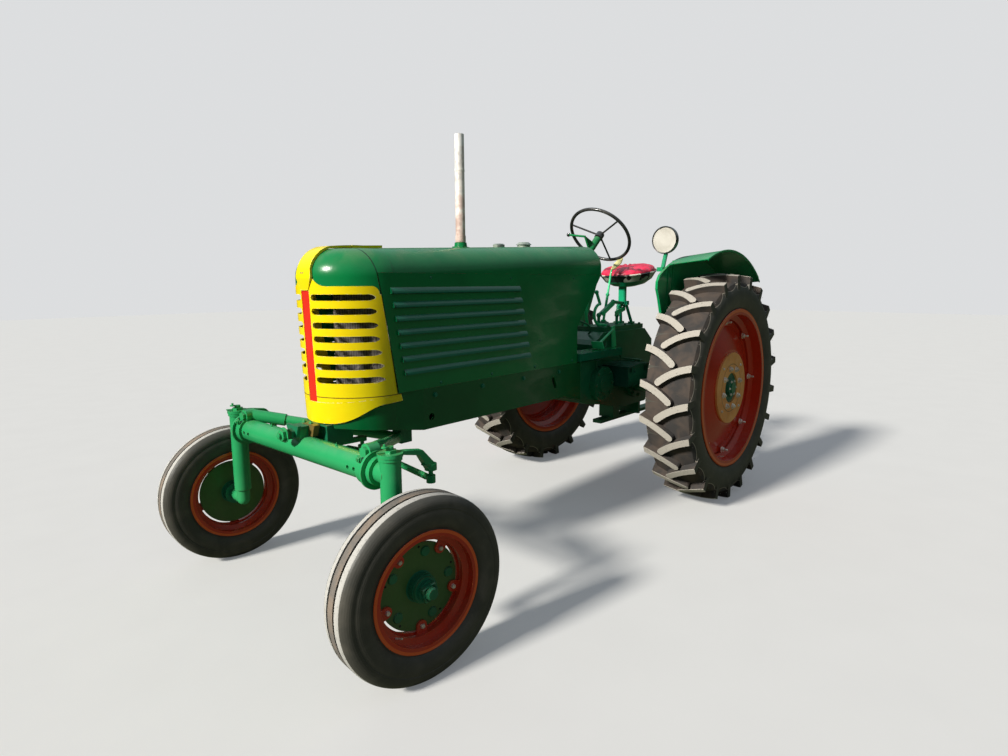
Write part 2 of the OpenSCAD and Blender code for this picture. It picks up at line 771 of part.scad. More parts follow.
// Its section: distance out from the panel and height over its open lower edge
louvre_outline = [[-sheet, 0], [13, 0], [13, 5], [11, 12], [7, 19], [0, louvre_h],
    [-sheet, louvre_h]];
module louvre(i, inset) front_view(louvre_rear(i) + inset, louvre_front(i) - inset)
    translate([hood_half, louvre_first + i * louvre_pitch])
        polygon([for (p = louvre_outline) [p[0] - inset * (p[0] > 0 ? 1 : 2), p[1] - inset]]);
module side_panel() color(green) difference() {
    union() {
        intersection() {
            plan_view(frame_top + gap, seam_z) difference() {
                hood_plan(0);
                hood_plan(sheet);
            }
            side_view(0, far) polygon([[hood_rear, seam_z],
                [hood_rear + 247, seam_z - 305], [hood_rear + 247, frame_top],
                [seam_x(frame_top) - 3, frame_top], [seam_x(seam_z) - 3, seam_z]]);
        }
        for (i = [0:louvres - 1]) louvre(i, 0);
    }
    for (i = [0:louvres - 1]) louvre(i, 2);
}
module hood_plan(inset) {
    translate([400, inset - hood_half]) square([nose_centre - 400, 2 * (hood_half - inset)]);
    translate([nose_centre, 0]) circle(r = hood_half - inset, $fn = 128);
}

module exhaust_pipe() color(steel) difference() {
    translate([ahead(1600), 0, engine_top])
        cylinder(r = exhaust_r, h = exhaust_top - engine_top);
    translate([ahead(1600), 0, engine_top + 30])
        cylinder(r = exhaust_r - 2.5, h = exhaust_top);
}

module radiator() color(dark) translate([ahead(nose_centre - 160), -215, frame_floor + 22])
    cube([150, 430, 1428 - frame_floor]);

module engine_block() color(green) translate([ahead(940), -170, frame_floor])
    cube([nose_centre - 240 - 940, 340, engine_top - frame_floor]);

// Driveline

// Side views of the clutch housing and of the gearbox behind it
module clutch_side() polygon([[frame_rear - gap, platform_z - platform_deep - gap],
    [frame_rear - gap, frame_low - 44], [694, 648], [clutch_rear - 5, 620],
    [clutch_rear - 5, platform_z - platform_deep - gap]]);
module gearbox_side() polygon([[clutch_rear + 10, 1010], [clutch_rear + 10, 625],
    [330, 574], [140, 545], [-150, 545], [-230, 610], [-230, 1000], [-120, gearbox_top],
    [430, gearbox_top], [510, 1040]]);
module gearbox() color(green) {
    side_view(-clutch_half, clutch_half) clutch_side();
    side_view(-gearbox_half, gearbox_half) gearbox_side();
    // round cover on the clutch housing, and the gear cover with the shifter's dome
    translate([ahead(556), 0, 768]) {
        rod(112, clutch_half - 1, clutch_half + 42);
        rod(60, clutch_half + 42, clutch_half + 54);
    }
    translate([ahead(cover_rear), -cover_half, gearbox_top - 1])
        cube([380 - cover_rear, 2 * cover_half, cover_top - gearbox_top + 1]);
    translate([ahead(200), 0, cover_top - 1]) cylinder(r1 = 46, r2 = 26, h = 30);
    // power take-off with its boss
    translate([ahead(-250), 0, 640]) rotate([0, 90, 0]) cylinder(r = 60, h = 80);
    translate([ahead(-400), 0, 640]) rotate([0, 90, 0]) cylinder(r = pto_r, h = 200);
}

module axle_housings() color(green) translate([rear_axle_x, 0, rear_tyre_r]) both_sides() {
    rod(housing_r + 45, gearbox_half + gap, gearbox_half + 30);
    rod(housing_r, gearbox_half + 30, 420);
    rod(housing_r + 25, 420, 440);
    rod(housing_r - 5, 440, fender_in + 20);
    rod(rear_shaft_r, fender_in + 20, rear_half_tread + 130);
}

module drawbar() color(green) difference() {
    union() {
        translate([ahead(-640), -35, 420]) cube([900, 70, 25]);
        translate([ahead(60), -60, 445]) cube([80, 120, 545 - gap - 445]);
        translate([ahead(-140), -120, 445]) cube([25, 240, 545 - gap - 445]);
    }
    translate([ahead(-600), 0, 400]) cylinder(r = drawbar_hole_r, h = 80);
}

module foot_platforms() color(green) both_sides() difference() {
    translate([ahead(410), gearbox_half + gap, platform_z - platform_deep])
        cube([platform_front - 410, 282 - gearbox_half - gap, platform_deep]);
    translate([ahead(416), gearbox_half + 6, platform_z - platform_deep - 6])
        cube([platform_front - 422, 270 - gearbox_half, platform_deep]);
}

module battery_box() color(green) {
    translate([ahead(150), gearbox_half + gap, 738]) cube([284, 345 - gearbox_half, 126]);
    side_view(gearbox_half + gap, 356) polygon([[142, 864], [440, 864], [440, 872],
        [300, 884], [142, 872]]);
}

// Pedal on the platform: its arm beside the gearbox and its foot plate
module pedal() {
    side_view(gearbox_half + 6, gearbox_half + 16) polygon([[292, 985], [342, 985],
        [352, 1120], [318, 1128]]);
    bar([ahead(330), gearbox_half + 11, 1104], [ahead(606), 214, platform_z + 24], 8);
    side_view(178, 262) polygon([[596, platform_z + 8], [604, platform_z + 6],
        [624, platform_z + 52], [616, platform_z + 54]]);
    bar([ahead(318), gearbox_half + gap, 1000], [ahead(318), gearbox_half + 15, 1000], 18);
}
module controls() color(green) {
    both_sides() pedal();
    // hand lever that curls forward over the cover
    translate([ahead(335), 57, cover_top + 84]) {
        intersection() {
            rotate([90, 0, 0]) rotate_extrude() translate([70, 0]) circle(r = 10);
            translate([0, -20, -100]) cube([100, 40, 200]);
        }
        bar([1, 0, 70], [46, 0, 150], 10);
        bar([1, 0, -70], [-58, 0, gap + 10 - 84], 9);
        translate([-58, 0, gap - 84]) cylinder(r = 18, h = 14);
        translate([46, 0, 150]) sphere(r = 15);
    }
    // gear lever, and two rods behind the panel: feet, tops and radius
    for (c = [[200, 0, cover_top + 29 + gap, 152, 1330, 9], [300, -80, cover_top + gap, 270, 1440, 8],
        [352, -30, cover_top + gap, 420, 1360, 9]]) {
        bar([ahead(c[0]), c[1], c[2] + 4], [ahead(c[3]), c[1], c[4]], c[5]);
        translate([ahead(c[0]), c[1], c[2]]) cylinder(r = 2 * c[5], h = 10);
        translate([ahead(c[3]), c[1], c[4]]) sphere(r = 1.5 * c[5]);
    }
    bar([ahead(152), 0, 1330], [ahead(108), 0, 1500], 7);
}

// Driver's place

wheel_d = 265;
wheel_z = 1735;
module at_wheel() translate([ahead(wheel_d), 0, wheel_z]) rotate([0, column_tilt - 90, 0])
    children();
module steering_wheel() at_wheel() color(dark) {
    rotate_extrude($fn = 96) translate([steering_wheel_r, 0]) circle(r = 11, $fn = 32);
    for (a = [0, 120, 240]) rotate([0, 0, a + 180]) translate([0, 0, -3])
        rotate([0, 90, 0]) cylinder(r = 6, h = steering_wheel_r - 3);
    translate([0, 0, -30]) difference() {
        cylinder(r = 28, h = 40);
        translate([0, 0, -1]) cylinder(r = 12 + run, h = 20);
    }
}

dash_x = hood_rear + 25;
dash_low = [hood_rear + 275, seam_z - 312];
column_length = (dash_low[0] - 10 - wheel_d) / cos(column_tilt);
module steering_column() color(green) {
    at_wheel() {
        translate([0, 0, -60]) cylinder(r = 12, h = 48);
        translate([0, 0, -column_length]) cylinder(r = 24, h = column_length - 40);
    }
    // plate of the throttle's quadrant, and its lever to the right
    side_view(-6, 6) polygon([[wheel_d + 187, wheel_z - 14], [wheel_d + 137, wheel_z - 95],
        [wheel_d + 90, wheel_z - 90], [wheel_d + 66, wheel_z - 62]]);
    bar([ahead(wheel_d + 178), 0, wheel_z - 18], [ahead(wheel_d + 178), -135, wheel_z], 7);
    // panel that closes the back of the hood and carries the column
    intersection() {
        side_view() polygon([[dash_x, 1700], [dash_x, seam_z - 8], dash_low,
            [dash_low[0], frame_top + gap], [dash_low[0] + 8, frame_top + gap],
            [dash_low[0] + 8, dash_low[1] + 3], [dash_x + 8, seam_z - 5],
            [dash_x + 8, 1700]]);
        hood_solid(-sheet - gap);
    }
}

module seat_pan() color(green) {
    translate([ahead(-130), 0, 0]) {
        // a dished pan that is higher behind
        translate([0, 0, seat_z - 60]) rotate([0, 9, 0]) rotate_extrude($fn = 96)
            polygon([[0, -46], [60, -42], [120, -28], [170, 4], [seat_half - 2, 56],
                [seat_half, 54], [seat_half + 2, 58], [seat_half - 4, 64], [164, 10],
                [117, -22], [60, -36], [0, -40]]);
        // its spring's plate
        translate([74, -30, seat_z - 250]) cube([12, 60, 143]);
    }
    // legs from the plate forward and down to the gear cover: bend, foot and side
    for (leg = [[121, 1279, 302, 1192, 26], [-10, 1240, 12, 1180, -6]]) {
        bar([ahead(-50), leg[4] * 0.3, seat_z - 226], [ahead(leg[0]), leg[4], leg[1]], 12);
        bar([ahead(leg[0]), leg[4], leg[1]], [ahead(leg[2]), leg[4], leg[3]], 13);
        bar([ahead(leg[2]), leg[4], leg[3]], [ahead(leg[2]), leg[4], cover_top + gap], 11);
        translate([ahead(leg[0]), leg[4], leg[1]]) sphere(r = 17);
        translate([ahead(leg[2]), leg[4], leg[3]]) sphere(r = 17);
    }
    for (y = [-44, 44]) {
        bar([ahead(-60), y * 0.5, seat_z - 222], [ahead(-110), y, cover_top + 9], 11);
        translate([ahead(-132), y - 16, cover_top + gap]) cube([44, 32, 14]);
    }
    translate([ahead(-72), -44, seat_z - 240]) cube([30, 88, 30]);
}

module seat_cushion() color(red) translate([ahead(-130), 0, seat_z - 60])
    rotate([0, 9, 0]) rotate_extrude($fn = 96)
    polygon([[0, -36], [60, -32], [114, -18], [160, 14], [seat_half - 12, 62],
        [seat_half - 16, 84], [120, 106], [0, 114]]);

// Fenders

module crown_sector() polygon([[0, 0], [far * cos(crown_front), far * sin(crown_front)],
    [far * cos(crown_rear), far * sin(crown_rear)]]);
module fender_wall() {
    intersection() {
        circle(r = fender_in_r - 1, $fn = 240);
        polygon([[fender_in_r * cos(crown_rear), fender_in_r * sin(crown_rear)],
            [-430, 440], [-240, 250], [-60, 235], [-60, 0], [60, 0], [60, 235],
            [240, 250], [406, 458], [451, 582], [478, 640], [476, 682], [449, 722],
            [fender_in_r * cos(55), far], [fender_in_r * cos(crown_rear), far]]);
    }
}
module fender() color(green) translate([rear_axle_x, 0, rear_tyre_r])
    difference() {
        union() {
            // crown that widens outward, cut from a thin cone
            intersection() {
                rotate([-90, 0, 0]) rotate_extrude($fn = 240)
                    polygon([[fender_in_r - 4, fender_in], [fender_in_r, fender_in],
                        [fender_r, fender_out], [fender_r - 12, fender_out],
                        [fender_r - 12, fender_out - 4], [fender_r - 5, fender_out - 4]]);
                translate([0, fender_out + 1, 0]) rotate([90, 0, 0])
                    linear_extrude(height = far) crown_sector();
            }
            translate([0, fender_in + 4, 0]) rotate([90, 0, 0])
                linear_extrude(height = 4) fender_wall();
            // lip along the wall's front edge
            translate([0, fender_in + 16, 0]) rotate([90, 0, 0])
                linear_extrude(height = 16) difference() {
                    fender_wall();
                    translate([-7, -3]) fender_wall();
                    translate([-far, -far]) square([far + 200, 2 * far]);
                    translate([-far, -far]) square([2 * far, far + 440]);
                }
        }
        rod(housing_r - 5, 0, far);
    }

module head_lamp() color(dark) difference() {
    union() {
        translate([ahead(lamp_x), lamp_y, lamp_z]) rotate([0, -90, 0]) {
            cylinder(r = lamp_r, h = 26);
            translate([0, 0, 26]) intersection() {
                translate([0, 0, -20]) sphere(r = lamp_r);
                cylinder(r = lamp_r, h = lamp_r);
            }
        }
        // bracket down to its foot on the fender's inner wall
        bar([ahead(lamp_x - 28), lamp_y, lamp_z - lamp_r + 6],
            [ahead(lamp_x + 34), lamp_y + 12, lamp_z - lamp_r - 92], 13);
        translate([ahead(lamp_x + 8), lamp_y, lamp_z - lamp_r - 112])
            cube([80, fender_in - gap - lamp_y, 26]);
    }
    translate([ahead(lamp_x + 1), lamp_y, lamp_z]) rotate([0, -90, 0])
        cylinder(r = lamp_r - 5, h = 16);
}

module lamp_lens() color("white") translate([ahead(lamp_x - gap), lamp_y, lamp_z])
    rotate([0, -90, 0]) cylinder(r = lamp_r - 5 - gap, h = 14);

main_frame();
front_bolster();
engine_block();
radiator();
grille();
grille_strip();
nose_band();
chin_panel();
nose_cheeks();
hood();
hood_caps();
side_panel();  // side_panel_left
mirror([0, 1, 0]) side_panel();  // side_panel_right
exhaust_pipe();
gearbox();
axle_housings();
foot_platforms();
battery_box();
controls();
steering_column();
seat_pan();
seat_cushion();
fender();  // fender_left
mirror([0, 1, 0]) fender();  // fender_right
head_lamp();
lamp_lens();
drawbar();
front_axle();
steering_wheel();
centre_arm();
tie_rod(1);  // tie_rod_left
tie_rod(-1);  // tie_rod_right
spindle(1);  // spindle_left
spindle(-1);  // spindle_right
front_tyre(1);  // front_tyre_left
front_rim(1);  // front_rim_left
front_hub(1);  // front_hub_left
front_tyre(-1);  // front_tyre_right
front_rim(-1);  // front_rim_right
front_hub(-1);  // front_hub_right
rear_tyre(1);  // rear_tyre_left
rear_rim(1);  // rear_rim_left
rear_hub(1);  // rear_hub_left
rear_tyre(-1);  // rear_tyre_right
rear_rim(-1);  // rear_rim_right
rear_hub(-1);  // rear_hub_right
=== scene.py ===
# %% [markdown]
# # A vintage row-crop tractor, dressed for the camera
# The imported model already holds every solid: nose, hood, frame, axles, wheels.
# This lesson loads it as a fixed frame, gives each part the paint, rubber or steel
# that an old farm tractor has, and adds what is too small or too soft for the
# solids: nuts and studs, the gathered seat cushion, gauges, rods and screws.

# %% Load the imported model
import bmesh
import bpy
import math
import random
from mathutils import Matrix, Vector


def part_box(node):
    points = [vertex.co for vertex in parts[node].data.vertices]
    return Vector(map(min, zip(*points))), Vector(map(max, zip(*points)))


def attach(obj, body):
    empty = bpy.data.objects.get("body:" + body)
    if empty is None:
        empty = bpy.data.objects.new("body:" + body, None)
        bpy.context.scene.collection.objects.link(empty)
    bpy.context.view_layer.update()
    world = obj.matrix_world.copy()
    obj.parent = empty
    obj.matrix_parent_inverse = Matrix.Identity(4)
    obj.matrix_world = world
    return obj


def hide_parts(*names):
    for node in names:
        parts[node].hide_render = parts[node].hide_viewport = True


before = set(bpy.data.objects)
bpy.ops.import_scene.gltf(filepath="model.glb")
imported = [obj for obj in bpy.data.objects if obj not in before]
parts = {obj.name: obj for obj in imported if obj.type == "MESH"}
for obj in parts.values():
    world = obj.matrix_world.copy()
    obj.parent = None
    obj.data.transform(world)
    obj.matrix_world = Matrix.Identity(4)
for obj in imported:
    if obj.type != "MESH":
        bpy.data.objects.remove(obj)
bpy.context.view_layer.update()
print("parts in the frame:", len(parts))

# %% [markdown]
# ## Camera
# A photograph's view is a place, three turns and a lens. The place and the turns
# were solved from the ellipses of the wheel rims and the long lines of the hood, so
# the camera is set once here. The matrix is built from the three turns in the order
# in which a photographer makes them: swing round, tip down, then roll.

# %% Camera
camera = bpy.data.objects.new("camera", bpy.data.cameras.new("camera"))
bpy.context.scene.collection.objects.link(camera)
camera.data.sensor_width = 36
camera.data.lens = 21.975
swing, tip, roll = (math.radians(a) for a in (131.567, 8.762, -0.29))
camera.matrix_world = (Matrix.Translation((2.828, 2.364, 1.414))
                       @ Matrix.Rotation(swing, 4, "Z")
                       @ Matrix.Rotation(math.pi / 2 - tip, 4, "X")
                       @ Matrix.Rotation(roll, 4, "Z"))
bpy.context.scene.camera = camera
print("camera stands at", [round(c, 2) for c in camera.location])

# %% [markdown]
# ## Helpers for shader nodes
# A node tree in code is a long list of "add this, set that, join these". Here one
# helper fills a socket with a number, a colour or another node's output, and a
# second one adds a node and fills its inputs. The others wrap the steps that nearly
# every finish here uses: arithmetic, a soft threshold, a mix and a noise.

# %% Fill sockets and add nodes
def fill(socket, value):
    """Joins a socket to another node's output, or sets it; a colour is three numbers."""
    if isinstance(value, bpy.types.NodeSocket):
        socket.id_data.links.new(value, socket)
    else:
        socket.default_value = (*value, 1) if socket.type == "RGBA" else value


def feed(node, **values):
    """Fills a node's sockets; a keyword is a socket's name with _ for a space."""
    for name, value in values.items():
        fill(node.inputs[name.replace("_", " ")], value)


def add(tree, kind, inputs=(), **options):
    """Adds a shader node; inputs pairs a socket with a value or with an output."""
    node = tree.nodes.new("ShaderNode" + kind)
    for option, value in options.items():
        setattr(node, option, value)
    for socket, value in dict(inputs).items():
        fill(node.inputs[socket], value)
    return node


# %% Arithmetic on numbers and vectors
def maths(tree, operation, a, b=0.0):
    return add(tree, "Math", {0: a, 1: b}, operation=operation).outputs[0]


def times(tree, a, b):
    return maths(tree, "MULTIPLY", a, b)


def gap(tree, a, b=0.0):
    """How far apart two numbers are; with one number, its size without its sign."""
    return maths(tree, "ABSOLUTE", maths(tree, "SUBTRACT", a, b) if b else a)


def vector_maths(tree, operation, a, b):
    return add(tree, "VectorMath", {0: a, 1: b}, operation=operation).outputs[0]


def dot(tree, a, b):
    """How far the vector a reaches along the direction b."""
    return add(tree, "VectorMath", {0: a, 1: b}, operation="DOT_PRODUCT").outputs["Value"]


# %% Thresholds, mixes, noise and places
def ramp(tree, value, low, high, out_low=0.0, out_high=1.0):
    """A soft threshold: out_low up to low, out_high from high on."""
    return add(tree, "MapRange", {"Value": value, "From Min": low, "From Max": high,
                                  "To Min": out_low, "To Max": out_high},
               interpolation_type="SMOOTHSTEP").outputs[0]


def blend_colours(tree, mask, a, b):
    """The colour a where the mask is 0, b where it is 1."""
    return add(tree, "Mix", {0: mask, 6: a, 7: b}, data_type="RGBA").outputs[2]


def noise(tree, where, scale, detail=4.0, distortion=0.0):
    return add(tree, "TexNoise", {"Vector": where, "Scale": scale, "Detail": detail,
                                  "Distortion": distortion}).outputs[0]


def place(tree):
    """Coordinates that stay with a part when its body turns."""
    return add(tree, "TexCoord").outputs["Object"]


def along(tree, x=0, y=0, z=0):
    """How far a point of the part lies along a direction: z=1 alone gives its height."""
    return dot(tree, place(tree), (x, y, z))


# %% [markdown]
# ## Shader groups that several finishes share
# Old paint shows four things at once: its colour drifts, its edges are worn to
# primer, dust lies on what faces up, and its skin is a little wavy. Each is a node
# group with named sockets, built once, so that a finish is a short recipe.
# The edge mask compares the true normal with one that is rounded over a few
# millimetres: they differ only near an edge, whatever the mesh is like.

# %% Start and use a shader group
def start_group(name, inputs, outputs):
    """inputs: (name, kind, value) rows; outputs: (name, kind) rows."""
    group = bpy.data.node_groups.new(name, "ShaderNodeTree")
    for label, kind, value in inputs:
        group.interface.new_socket(name=label, in_out="INPUT",
                                   socket_type="NodeSocket" + kind).default_value = value
    for label, kind in outputs:
        group.interface.new_socket(name=label, in_out="OUTPUT",
                                   socket_type="NodeSocket" + kind)
    given = group.nodes.new("NodeGroupInput").outputs
    results = group.nodes.new("NodeGroupOutput").inputs
    print("shader group:", name)
    return group, given, results


def use_group(tree, group, **values):
    """Places a group in a tree, fills its sockets and hands back its outputs."""
    node = tree.nodes.new("ShaderNodeGroup")
    node.node_tree = group
    feed(node, **values)
    return node.outputs


# %% Group: drifting colour
colour_drift, given, results = start_group(
    "colour drift",
    [("Colour", "Color", (1, 1, 1, 1)), ("Other", "Color", (0, 0, 0, 1)),
     ("Scale", "Float", 3.0), ("Amount", "Float", 0.4)],
    [("Colour", "Color"), ("Mask", "Float")])
tree = colour_drift
broad = noise(tree, place(tree), given["Scale"], 5, 0.4)
mask = times(tree, ramp(tree, broad, 0.38, 0.68), given["Amount"])
fill(results["Mask"], mask)
fill(results["Colour"], blend_colours(tree, mask, given["Colour"], given["Other"]))

# %% Group: worn edges
edge_wear, given, results = start_group(
    "edge wear", [("Radius", "Float", 0.003), ("Patches", "Float", 30.0)], [("Mask", "Float")])
tree = edge_wear
rounded = add(tree, "Bevel", {"Radius": given["Radius"]}, samples=4).outputs[0]
same = dot(tree, rounded, add(tree, "NewGeometry").outputs["Normal"])
patch = ramp(tree, noise(tree, place(tree), given["Patches"], 6), 0.47, 0.62)
fill(results["Mask"], times(tree, ramp(tree, same, 0.995, 0.86), patch))

# %% Group: settled dust
settled_dust, given, results = start_group(
    "settled dust", [("Amount", "Float", 0.4), ("Low", "Float", 0.7), ("Scale", "Float", 9.0)],
    [("Mask", "Float")])
tree = settled_dust
point = add(tree, "NewGeometry").outputs
up = dot(tree, point["Normal"], (0, 0, 1))
height = dot(tree, point["Position"], (0, 0, 1))
lies = maths(tree, "ADD", ramp(tree, up, 0.25, 0.95, 0.0, 0.6),
             ramp(tree, maths(tree, "DIVIDE", height, given["Low"]), 1.0, 0.0, 0.0, 0.7))
drift = ramp(tree, noise(tree, place(tree), given["Scale"], 7, 0.6), 0.35, 0.7)
fill(results["Mask"], times(tree, times(tree, lies, drift), given["Amount"]))

# %% Group: distance from an axle
axle_place, given, results = start_group(
    "axle place", [("Centre", "Vector", (0, 0, 0)), ("Axle", "Vector", (0, 1, 0))],
    [("Radius", "Float"), ("Side", "Float"), ("Angle", "Float")])
tree = axle_place
offset = vector_maths(tree, "SUBTRACT", place(tree), given["Centre"])
side = dot(tree, offset, given["Axle"])
outward = add(tree, "VectorMath", {0: given["Axle"], 3: side}, operation="SCALE").outputs[0]
across = vector_maths(tree, "SUBTRACT", offset, outward)
ahead = dot(tree, across, vector_maths(tree, "CROSS_PRODUCT", given["Axle"], (0, 0, 1)))
fill(results["Radius"], add(tree, "VectorMath", {0: across}, operation="LENGTH").outputs["Value"])
fill(results["Side"], side)
fill(results["Angle"], maths(tree, "ARCTAN2", dot(tree, across, (0, 0, 1)), ahead))

# %% [markdown]
# ## Enamel
# Farm enamel is brushed or sprayed thick over cast iron and sheet: glossy, with a
# fine orange-peel skin, and primer or rusty steel at the corners. The gloss comes
# from a clear coat over a coloured base, so that highlights stay sharp while the
# colour below is soft. Panels, castings and wheels share the recipe, and only their
# values differ.

# %% A material and its skin
def principled(name, **values):
    """A new material, its node tree and its shader, whose sockets get the values."""
    material = bpy.data.materials.new(name)
    material.use_nodes = True
    tree = material.node_tree
    shader = tree.nodes["Principled BSDF"]
    feed(shader, **values)
    print("material:", name)
    return material, tree, shader


def skin(tree, shader, height, strength, distance=0.001):
    """Makes the surface rise and fall with the height."""
    bump = add(tree, "Bump", {"Height": height, "Strength": strength, "Distance": distance})
    feed(shader, Normal=bump.outputs[0])


# %% Enamel
dust_colour = (0.36, 0.30, 0.21)


def enamel(name, colour, deep, bare=(0.13, 0.075, 0.045), gloss=0.24, dust=0.3,
           peel=0.12, wear=0.0022, coat=0.12):
    """Paint that drifts from colour to deep and is worn to bare, which on the yellow is partly a painted
    edge highlight; gloss is its roughness.
    """
    material, tree, shader = principled(name, Specular_IOR_Level=0.28, Coat_Roughness=0.07)
    drift = use_group(tree, colour_drift, Colour=colour, Other=deep, Scale=2.6, Amount=0.55)
    worn = use_group(tree, edge_wear, Radius=wear, Patches=38.0)["Mask"]
    dusty = use_group(tree, settled_dust, Amount=dust)["Mask"]
    base = blend_colours(tree, worn, drift["Colour"], bare)
    dull = maths(tree, "MAXIMUM", worn, times(tree, dusty, 1.3))
    feed(shader, Base_Color=blend_colours(tree, dusty, base, dust_colour),
         Roughness=ramp(tree, dull, 0.0, 1.0, gloss, 0.75),
         Coat_Weight=ramp(tree, dull, 0.0, 0.5, coat, 0.02))
    where = place(tree)
    waves = times(tree, noise(tree, where, 42, 3), 1.6)
    skin(tree, shader, maths(tree, "ADD", noise(tree, where, 320, 2), waves), peel)
    return material


# %% The tractor's paints
green_paint = enamel("green enamel", (0.002, 0.215, 0.058), (0.002, 0.150, 0.040))
frame_paint = enamel("green on the frame", (0.002, 0.125, 0.034), (0.002, 0.080, 0.022),
                     dust=0.12, peel=0.3)
fender_paint = enamel("green on the fenders", (0.004, 0.310, 0.100), (0.003, 0.230, 0.070))
pan_paint = enamel("green on the seat pan", (0.010, 0.360, 0.170), (0.008, 0.24, 0.11), peel=0.3)
casting_paint = enamel("green on castings", (0.012, 0.190, 0.085), (0.005, 0.09, 0.045),
                       gloss=0.32, dust=0.2, peel=0.4, wear=0.003)
box_paint = enamel("paint on the battery box", (0.006, 0.075, 0.050), (0.010, 0.030, 0.024),
                   dust=0.15, peel=0.3)
# A much lighter copy of the tractor's green: painted sunlight on the levers and the seat straps, which
# stand in the hood's shade.
lever_paint_with_painted_sun = enamel("green on levers", (0.055, 0.800, 0.330), (0.025, 0.58, 0.24),
                     gloss=0.3, dust=0.08, peel=0.3)
axle_paint = enamel("green on the axle", (0.024, 0.350, 0.120), (0.012, 0.260, 0.082),
                    bare=(0.16, 0.22, 0.10), gloss=0.26, dust=0.16, peel=0.3, wear=0.0025, coat=0.2)
# on the yellow, the pale bare colour at the edges is partly worn paint and partly a painted highlight along
# rolled edges such as the slots' rims
yellow_paint = enamel("yellow enamel", (0.95, 0.76, 0.004), (0.92, 0.66, 0.003),
                      bare=(0.95, 0.86, 0.50), dust=0.06, wear=0.0035)
strip_paint = enamel("red on the strip", (0.74, 0.030, 0.014), (0.62, 0.020, 0.010), dust=0.06)
wheel_red = enamel("red on the wheels", (0.64, 0.040, 0.014), (0.42, 0.022, 0.010),
                   bare=(0.85, 0.20, 0.05), wear=0.004, gloss=0.22, dust=0.18, peel=0.3, coat=0.3)

# %% [markdown]
# ## Seams and louvres
# Where two painted sheets meet, the gap between them lies in shade and draws a dark line.
# A gap of 0.3 mm is far too thin to show from a few metres, so the line is painted shade:
# a mask from the distance to the seam's plane. The louvres stand a little proud and see
# more sky, so they are given a painted bluish sky reflection, and the end where each
# one starts is given painted shade.

# %% Paint over a finished material
def paint_over(material, mask, colour):
    """Lays a colour on a material where the mask is 1."""
    shader = material.node_tree.nodes["Principled BSDF"]
    below = shader.inputs["Base Color"].links[0].from_socket
    feed(shader, Base_Color=blend_colours(material.node_tree, mask, below, colour))


def seam_shade_line(material, start, colour, **way):
    """Paints a dark line of shade on a paint where a point's distance along the way is start."""
    tree = material.node_tree
    paint_over(material, ramp(tree, gap(tree, along(tree, **way), start), 0.0030, 0.0014, 0.0, 0.9), colour)


# %% Painted shade in the seams, painted sky reflection and shade on the louvres
# painted shade along the seam on top of the chin
seam_shade_line(yellow_paint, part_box("chin_panel")[1].z, (0.14, 0.075, 0.012), z=1)
seam_lean = 0.1715  # the seam behind the nose leans forward by this share of its height
seam_x, seam_z = 1.1485, 0.935  # where that seam starts, low on the hood's side
seam = seam_x - seam_lean * seam_z  # where its line would meet the ground
louvre_end = 0.944  # where the line of the louvres' front ends would meet it
# painted shade along the seam behind the nose
seam_shade_line(green_paint, seam - 0.002, (0.001, 0.020, 0.008), x=1, z=-seam_lean)
tree = green_paint.node_tree
aside = gap(tree, along(tree, y=1))
# on the louvres: a painted bluish sky reflection, and painted shade at their front ends
louvre = times(tree, ramp(tree, aside, 0.2625, 0.2640), ramp(tree, aside, 0.290, 0.285))
front = ramp(tree, along(tree, x=1, z=-seam_lean), 0.928, louvre_end)
louvre_sky_and_shade = blend_colours(tree, front, (0.002, 0.165, 0.095), (0.001, 0.045, 0.020))
paint_over(green_paint, times(tree, louvre, 0.85), louvre_sky_and_shade)
print("louvres start", round(seam - louvre_end, 3), "m behind the seam")

# %% [markdown]
# ## Rubber
# A tyre is black only on its side. Where it rolls it is scuffed and holds soil: the
# lug tops are pale and polished, the floor between the lugs is brown-grey, and the
# sidewall keeps fine moulding rings. All of that depends on the distance from the
# axle and on the side, so the rubber asks the axle group where it is.

# %% Where the wheels stand: Y of each stand points out along its axle
parked = math.radians(-6)  # the front wheels stand turned a little to the right
wheels = {}
for end, angle in (("front", parked), ("rear", 0.0)):
    for hand, sign in (("left", 1), ("right", -1)):
        low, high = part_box(f"{end}_tyre_{hand}")
        outward = Vector((-math.sin(angle), math.cos(angle), 0)) * sign
        upright = Vector((0, 0, 1))
        turned = Matrix((outward.cross(upright), outward, upright)).transposed().to_4x4()
        wheels[f"{end}_{hand}"] = Matrix.Translation((low + high) / 2) @ turned
        print(end, hand, "wheel stands at", [round(c, 3) for c in (low + high) / 2])


def wheel_spot(tree, wheel):
    """Radius, Side and Angle of a point, as this wheel's axle sees it."""
    stand = wheels[wheel]
    return use_group(tree, axle_place, Centre=stand.to_translation(), Axle=stand.col[1].to_3d())


# %% What both kinds of tyre share
def rubber_base(wheel):
    """A tyre's material, with its specks, its blotches and the grime of its side."""
    material, tree, shader = principled(f"rubber {wheel}", Specular_IOR_Level=0.3)
    speck = noise(tree, place(tree), 90, 8)
    blotch = noise(tree, place(tree), 11, 6, 0.5)
    base = blend_colours(tree, ramp(tree, blotch, 0.42, 0.72, 0.0, 0.5), (0.066, 0.064, 0.056),
                         (0.120, 0.110, 0.092))
    return material, tree, shader, wheel_spot(tree, wheel), speck, blotch, base


def finish_rubber(tree, shader, spot, speck, base, worn, ridge):
    """Colours, dulls and moulds a tyre; ridge is the radius of the ring on its sidewall."""
    rings = times(tree, maths(tree, "SINE", times(tree, spot["Radius"], 900.0)), 0.12)
    step = ramp(tree, gap(tree, spot["Radius"], ridge), 0.005, 0.001, 0.0, 3.0)
    moulded = times(tree, maths(tree, "ADD", rings, step), maths(tree, "SUBTRACT", 1.0, worn))
    feed(shader, Base_Color=base, Roughness=ramp(tree, worn, 0.0, 1.0, 0.46, 0.9))
    skin(tree, shader, maths(tree, "ADD", speck, moulded), 0.5, 0.0012)


